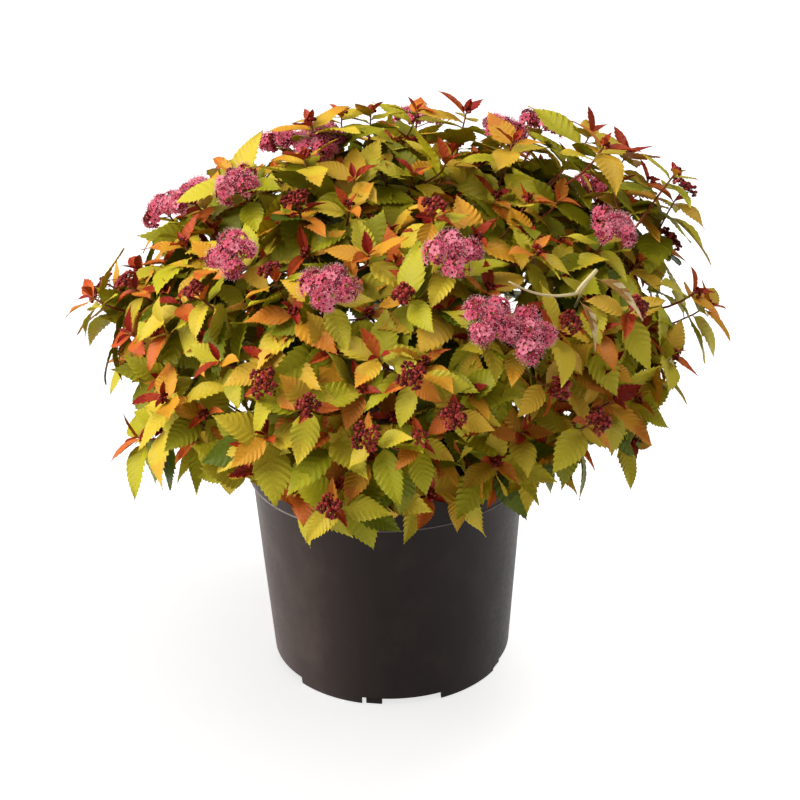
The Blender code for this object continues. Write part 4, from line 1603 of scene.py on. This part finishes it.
    def grow_buds(
        self, tip: Vector, axis: Vector, radius: float, rng: random.Random, buds: Batch,
        stalks: Batch,
    ) -> None:
        """Grows one bunch of shut buds, as wide as its radius says.

        Args:
            tip: The shoot's tip.
            axis: The shoot's heading there.
            radius: The radius of the whole head.
            rng: The mass's own random source.
            buds: Takes the buds.
            stalks: Takes the stalks.
        """
        small = radius < self.small_below
        bunches = 1 if small else self.bud_bunches
        reach = radius * (self.small_reach if small else self.bud_reach)
        count = self.small_count if small else self.bud_count
        level = axis.orthogonal().normalized()
        rest = rng.uniform(0.0, math.tau)
        for bunch in range(bunches):
            centre, facing = tip + axis * radius * self.bud_middle_rise, axis
            if bunch:
                lean = Matrix.Rotation(rest + math.tau * bunch / (bunches - 1), 3, axis) @ level
                centre = tip + lean * radius * self.bud_spread
                centre = centre + axis * radius * rng.uniform(*self.bud_rise)
                facing = (axis + lean * self.bud_lean).normalized()
            self.add_stalk(stalks, tip - axis * self.bud_foot, centre, self.bud_stalks[0])
            for point, _ in self.dome(centre, facing, reach, count, self.bud_angle):
                point = point + stray(rng, self.bud_scatter)
                self.add_stalk(stalks, centre, point, self.bud_stalks[1])
                tint = rng.choices(tuple(BudTint), self.bud_weights)[0]
                axes = np.eye(3) * rng.uniform(*self.bud_sizes)
                buds.add(self.bud, np.array(point), axes, (order(tint),))


@dataclass
class Dresser:
    """Dresses each mass with its twigs, leaves, buds and flowers."""

    crown: Crown
    foliage: Foliage
    heads: HeadForm
    leaf_finishes: list
    stem_finishes: list
    petal_finishes: list
    bud_finishes: list
    tip_bud_share: float = 0.62
    tip_bud_radius: float = 0.0048
    dead_radii: tuple[float, float] = (0.0014, 0.0012)
    dead_arm_radii: tuple[float, float] = (0.0011, 0.0006)
    dead_droop: float = 0.35
    dead_leaf_width: float = 0.62
    dead_steps: tuple[int, int] = (5, 9)
    dead_sides: int = 6
    stem_sides: int = 7
    twig_sides: int = 5
    bud_radii: tuple[float, float] = (0.0065, 0.0105)
    seed: int = 97
    bloom_rise: float = 0.006

    def __post_init__(self) -> None:
        """Finds the middle of each flower head."""
        shoots = [s for mass in self.crown.masses for s in mass.shoots if s.tip is Tip.BLOOM]
        self.blooms = [
            s.path[-1] + (s.path[-1] - s.path[-2]).normalized() * self.bloom_rise for s in shoots
        ]

    def twigs(self, mass: Mass) -> bpy.types.Object:
        """The mass's stem and shoots as one mesh."""
        bm = bmesh.new()
        stem_radii, brown = self.foliage.stem_radii, order(StemTint.BROWN)
        grow_limb(bm, mass.stem, stem_radii, self.stem_sides, brown)
        for shoot in mass.shoots:
            tint = StemTint.STRAW if shoot.tip is Tip.DEAD else StemTint.RED_BROWN
            radii = self.foliage.main_radii if shoot.rank == 1 else self.foliage.side_radii
            grow_limb(bm, shoot.path, radii, self.twig_sides, order(tint))
            if shoot.tip is Tip.DEAD:
                self.grow_dead_fork(bm, shoot)
        return new_object(
            f"twigs_{mass.name}", mesh_from(bm, f"twigs_{mass.name}"), self.stem_finishes
        )

    def grow_dead_fork(self, bm: bmesh.types.BMesh, shoot: Shoot) -> None:
        """Adds the dry stub that bends down from the dead twig's end, and the thin arm from it."""
        fork = shoot.path[-1]
        joint, tip = place(*self.crown.dead_joint), place(*self.crown.dead_arm)
        down = (joint - fork).normalized()
        arm = (tip - joint).normalized()
        elbow = (down - UP * self.dead_droop).normalized()
        dip = (arm - UP * self.dead_droop).normalized()
        lift = (arm + UP * self.dead_droop).normalized()
        stub_steps, arm_steps = self.dead_steps
        for path, radii in (
            (arched(fork, down, joint, elbow, stub_steps), self.dead_radii),
            (arched(joint, dip, tip, lift, arm_steps), self.dead_arm_radii),
        ):
            grow_limb(bm, path, radii, self.dead_sides, order(StemTint.STRAW))

    def add_dead_leaves(self, petioles: Batch) -> None:
        """Adds the long dry leaves that hang from the dead twig."""
        for start, end in self.crown.dead_leaves:
            base, tip = place(*start), place(*end)
            axes = axes_along(tip - base, self.crown.outward(tip), (tip - base).length)
            axes[0] *= self.dead_leaf_width
            dry = (order(StemTint.DRY_LEAF), order(StemTint.STRAW))
            petioles.add(self.foliage.young[1], np.array(base), axes, dry)

    def dress(self, mass: Mass, number: int) -> list[bpy.types.Object]:
        """Builds every piece of one mass.

        Args:
            mass: The mass.
            number: Its place among the masses, which seeds it.

        Returns:
            The pieces.
        """
        rng = random.Random(self.seed + number)
        leaves, petioles, flowers, buds = Batch(), Batch(), Batch(), Batch()
        for shoot in mass.shoots:
            if shoot.tip is Tip.DEAD:
                self.add_dead_leaves(petioles)
                continue
            self.foliage.grow_spray(shoot, rng, leaves, petioles, self.blooms)
            tip, axis = shoot.path[-1], (shoot.path[-1] - shoot.path[-2]).normalized()
            if shoot.tip is Tip.BLOOM:
                self.heads.grow_bloom(tip, axis, rng, flowers, buds, petioles)
            elif shoot.tip is Tip.BUD:
                radius = rng.uniform(*self.bud_radii)
                self.heads.grow_buds(tip, axis, radius, rng, buds, petioles)
            elif rng.random() < self.tip_bud_share:
                self.heads.grow_buds(tip, axis, self.tip_bud_radius, rng, buds, petioles)
        pieces = [(self.twigs(mass), "bark")]
        blades = leaves.build(f"leaves_{mass.name}", self.leaf_finishes, self.foliage.crease)
        pieces.append((blades, "foliage"))
        pieces.append((petioles.build(f"stalks_{mass.name}", self.stem_finishes), "bark"))
        if flowers.points:
            pieces.append((flowers.build(f"blossom_{mass.name}", self.petal_finishes), "foliage"))
        if buds.points:
            pieces.append((buds.build(f"buds_{mass.name}", self.bud_finishes), "foliage"))
        for piece, slot in pieces:
            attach(piece, "root")
            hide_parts(f"foliage_{mass.name}")
        return [piece for piece, _ in pieces]


@dataclass(frozen=True)
class AreaLight:
    """A square light, placed by its bearing, elevation and distance from what it faces."""

    name: str
    bearing: float
    elevation: float
    distance: float
    size: float
    power: float

    def build(self, aim: Vector) -> bpy.types.Object:
        """The light, turned to a point."""
        data = bpy.data.lights.new(self.name, "AREA")
        data.size = self.size
        data.energy = self.power
        light = bpy.data.objects.new(self.name, data)
        heading = direction(self.bearing, self.elevation)
        light.location = aim + heading * self.distance
        light.rotation_euler = heading.to_track_quat("Z", "Y").to_euler()
        bpy.context.scene.collection.objects.link(light)
        return light


@dataclass
class Studio:
    """A white floor that glows a little, a soft key light and a low strip of light on the left,
    a light behind on the right, a wide one above, and the camera."""

    camera_place: tuple[float, float, float] = (0.0105, -1.25, 0.7997)
    pitch: float = 24.94
    roll: float = -1.18
    field_of_view: float = 25.43
    floor_size: float = 16.0
    floor_white: float = 0.96
    floor_roughness: float = 0.9
    floor_glow: float = 0.72
    sky: float = 0.22
    aim_height: float = 0.25
    sensor_width: float = 36.0
    lights: tuple[AreaLight, ...] = (
        AreaLight("key_light", -76.0, 38.0, 2.4, 1.8, 94.0),
        AreaLight("strip_light", -98.0, 5.0, 1.6, 0.8, 112.0),
        AreaLight("back_light", 116.0, 60.0, 2.6, 0.9, 22.0),
        AreaLight("top_light", 0.0, 88.0, 3.6, 4.0, 45.0),
    )

    def build(self, pieces: Sequence[bpy.types.Object]) -> None:
        """Builds the floor, the lights, the world and the camera.

        Args:
            pieces: The potted plant's pieces, the pot first. The key light leaves the floor
                alone, and the strip of light at the left is there for the pot's sheen.
        """
        bm = bmesh.new()
        bmesh.ops.create_grid(bm, x_segments=1, y_segments=1, size=self.floor_size / 2.0)
        finish, _, shader = new_material("studio_floor")
        shader.inputs["Base Color"].default_value = (*[self.floor_white] * 3, 1.0)
        shader.inputs["Roughness"].default_value = self.floor_roughness
        shader.inputs["Emission Color"].default_value = (1.0, 1.0, 1.0, 1.0)
        shader.inputs["Emission Strength"].default_value = self.floor_glow
        floor = new_object("floor", mesh_from(bm, "floor"), [finish])
        key, strip, *_ = [light.build(UP * self.aim_height) for light in self.lights]
        for light, receivers in ((key, pieces), (strip, pieces[:1])):
            lit = bpy.data.collections.new(f"lit_by_{light.name}")
            for piece in receivers:
                lit.objects.link(piece)
            light.light_linking.receiver_collection = lit
        world = bpy.data.worlds.new("studio_world")
        world.use_nodes = True
        background = world.node_tree.nodes["Background"]
        background.inputs["Color"].default_value = (1.0, 1.0, 1.0, 1.0)
        background.inputs["Strength"].default_value = self.sky
        bpy.context.scene.world = world
        bpy.context.scene.view_settings.view_transform = "Standard"
        data = bpy.data.cameras.new("camera")
        data.sensor_width = self.sensor_width
        data.angle = math.radians(self.field_of_view)
        camera = bpy.data.objects.new("camera", data)
        camera.location = self.camera_place
        tilt = Matrix.Rotation(math.radians(90.0 - self.pitch), 3, "X")
        lean = Matrix.Rotation(math.radians(self.roll), 3, "Z")
        camera.rotation_euler = (tilt @ lean).to_euler()
        bpy.context.scene.collection.objects.link(camera)
        bpy.context.scene.camera = camera


def main() -> None:
    """Builds the pieces in order and reports each one."""
    logging.basicConfig(level=logging.INFO, format="%(message)s")
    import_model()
    plastic = MouldedPolypropylene().build()
    # The bead's finish is a lighter copy of the pot's plastic: a painted highlight where the bead
    # catches the light, not lighter plastic.
    edge = MouldedPolypropylene(
        "bead_highlight_polypropylene", "#4a403d", "#574c48", "#6a5f5a", specular=0.15
    ).build()
    peat = RoughNatural("peat_compost", "#1d130d", "#3a281b", 5.0, 1.1, 0.0006, 0.95).build()
    bark = RoughNatural("spirea_bark", "#3d2a1e", "#7c5a42", 4.0, 0.9, 0.0004, 0.82, 3.0).build()
    pot = Pot()
    stem = StemBase()
    made = [pot.build([plastic, edge]), *Compost().build(pot, peat), stem.build(bark)]
    crown = Crown(stem)
    crown.grow()
    dresser = Dresser(
        crown, Foliage(), HeadForm(),
        build_palette("leaf", LeafTint, 0.46), build_palette("stem", StemTint, 0.55),
        build_palette("petal", PetalTint, 0.60), build_palette("bud", BudTint, 0.42),
    )
    limbs = BarkLimbs()
    for number, mass in enumerate(crown.masses):
        made.append(limbs.build(mass, bark))
        made += dresser.dress(mass, number)
    total = 0
    for piece in made:
        faces = sum(len(polygon.vertices) - 2 for polygon in piece.data.polygons)
        total += faces
        log.info("%s: %d triangles", piece.name, faces)
    log.info("%d pieces, %d triangles", len(made), total)
    Studio().build(made)


if __name__ == "__main__":
    main()
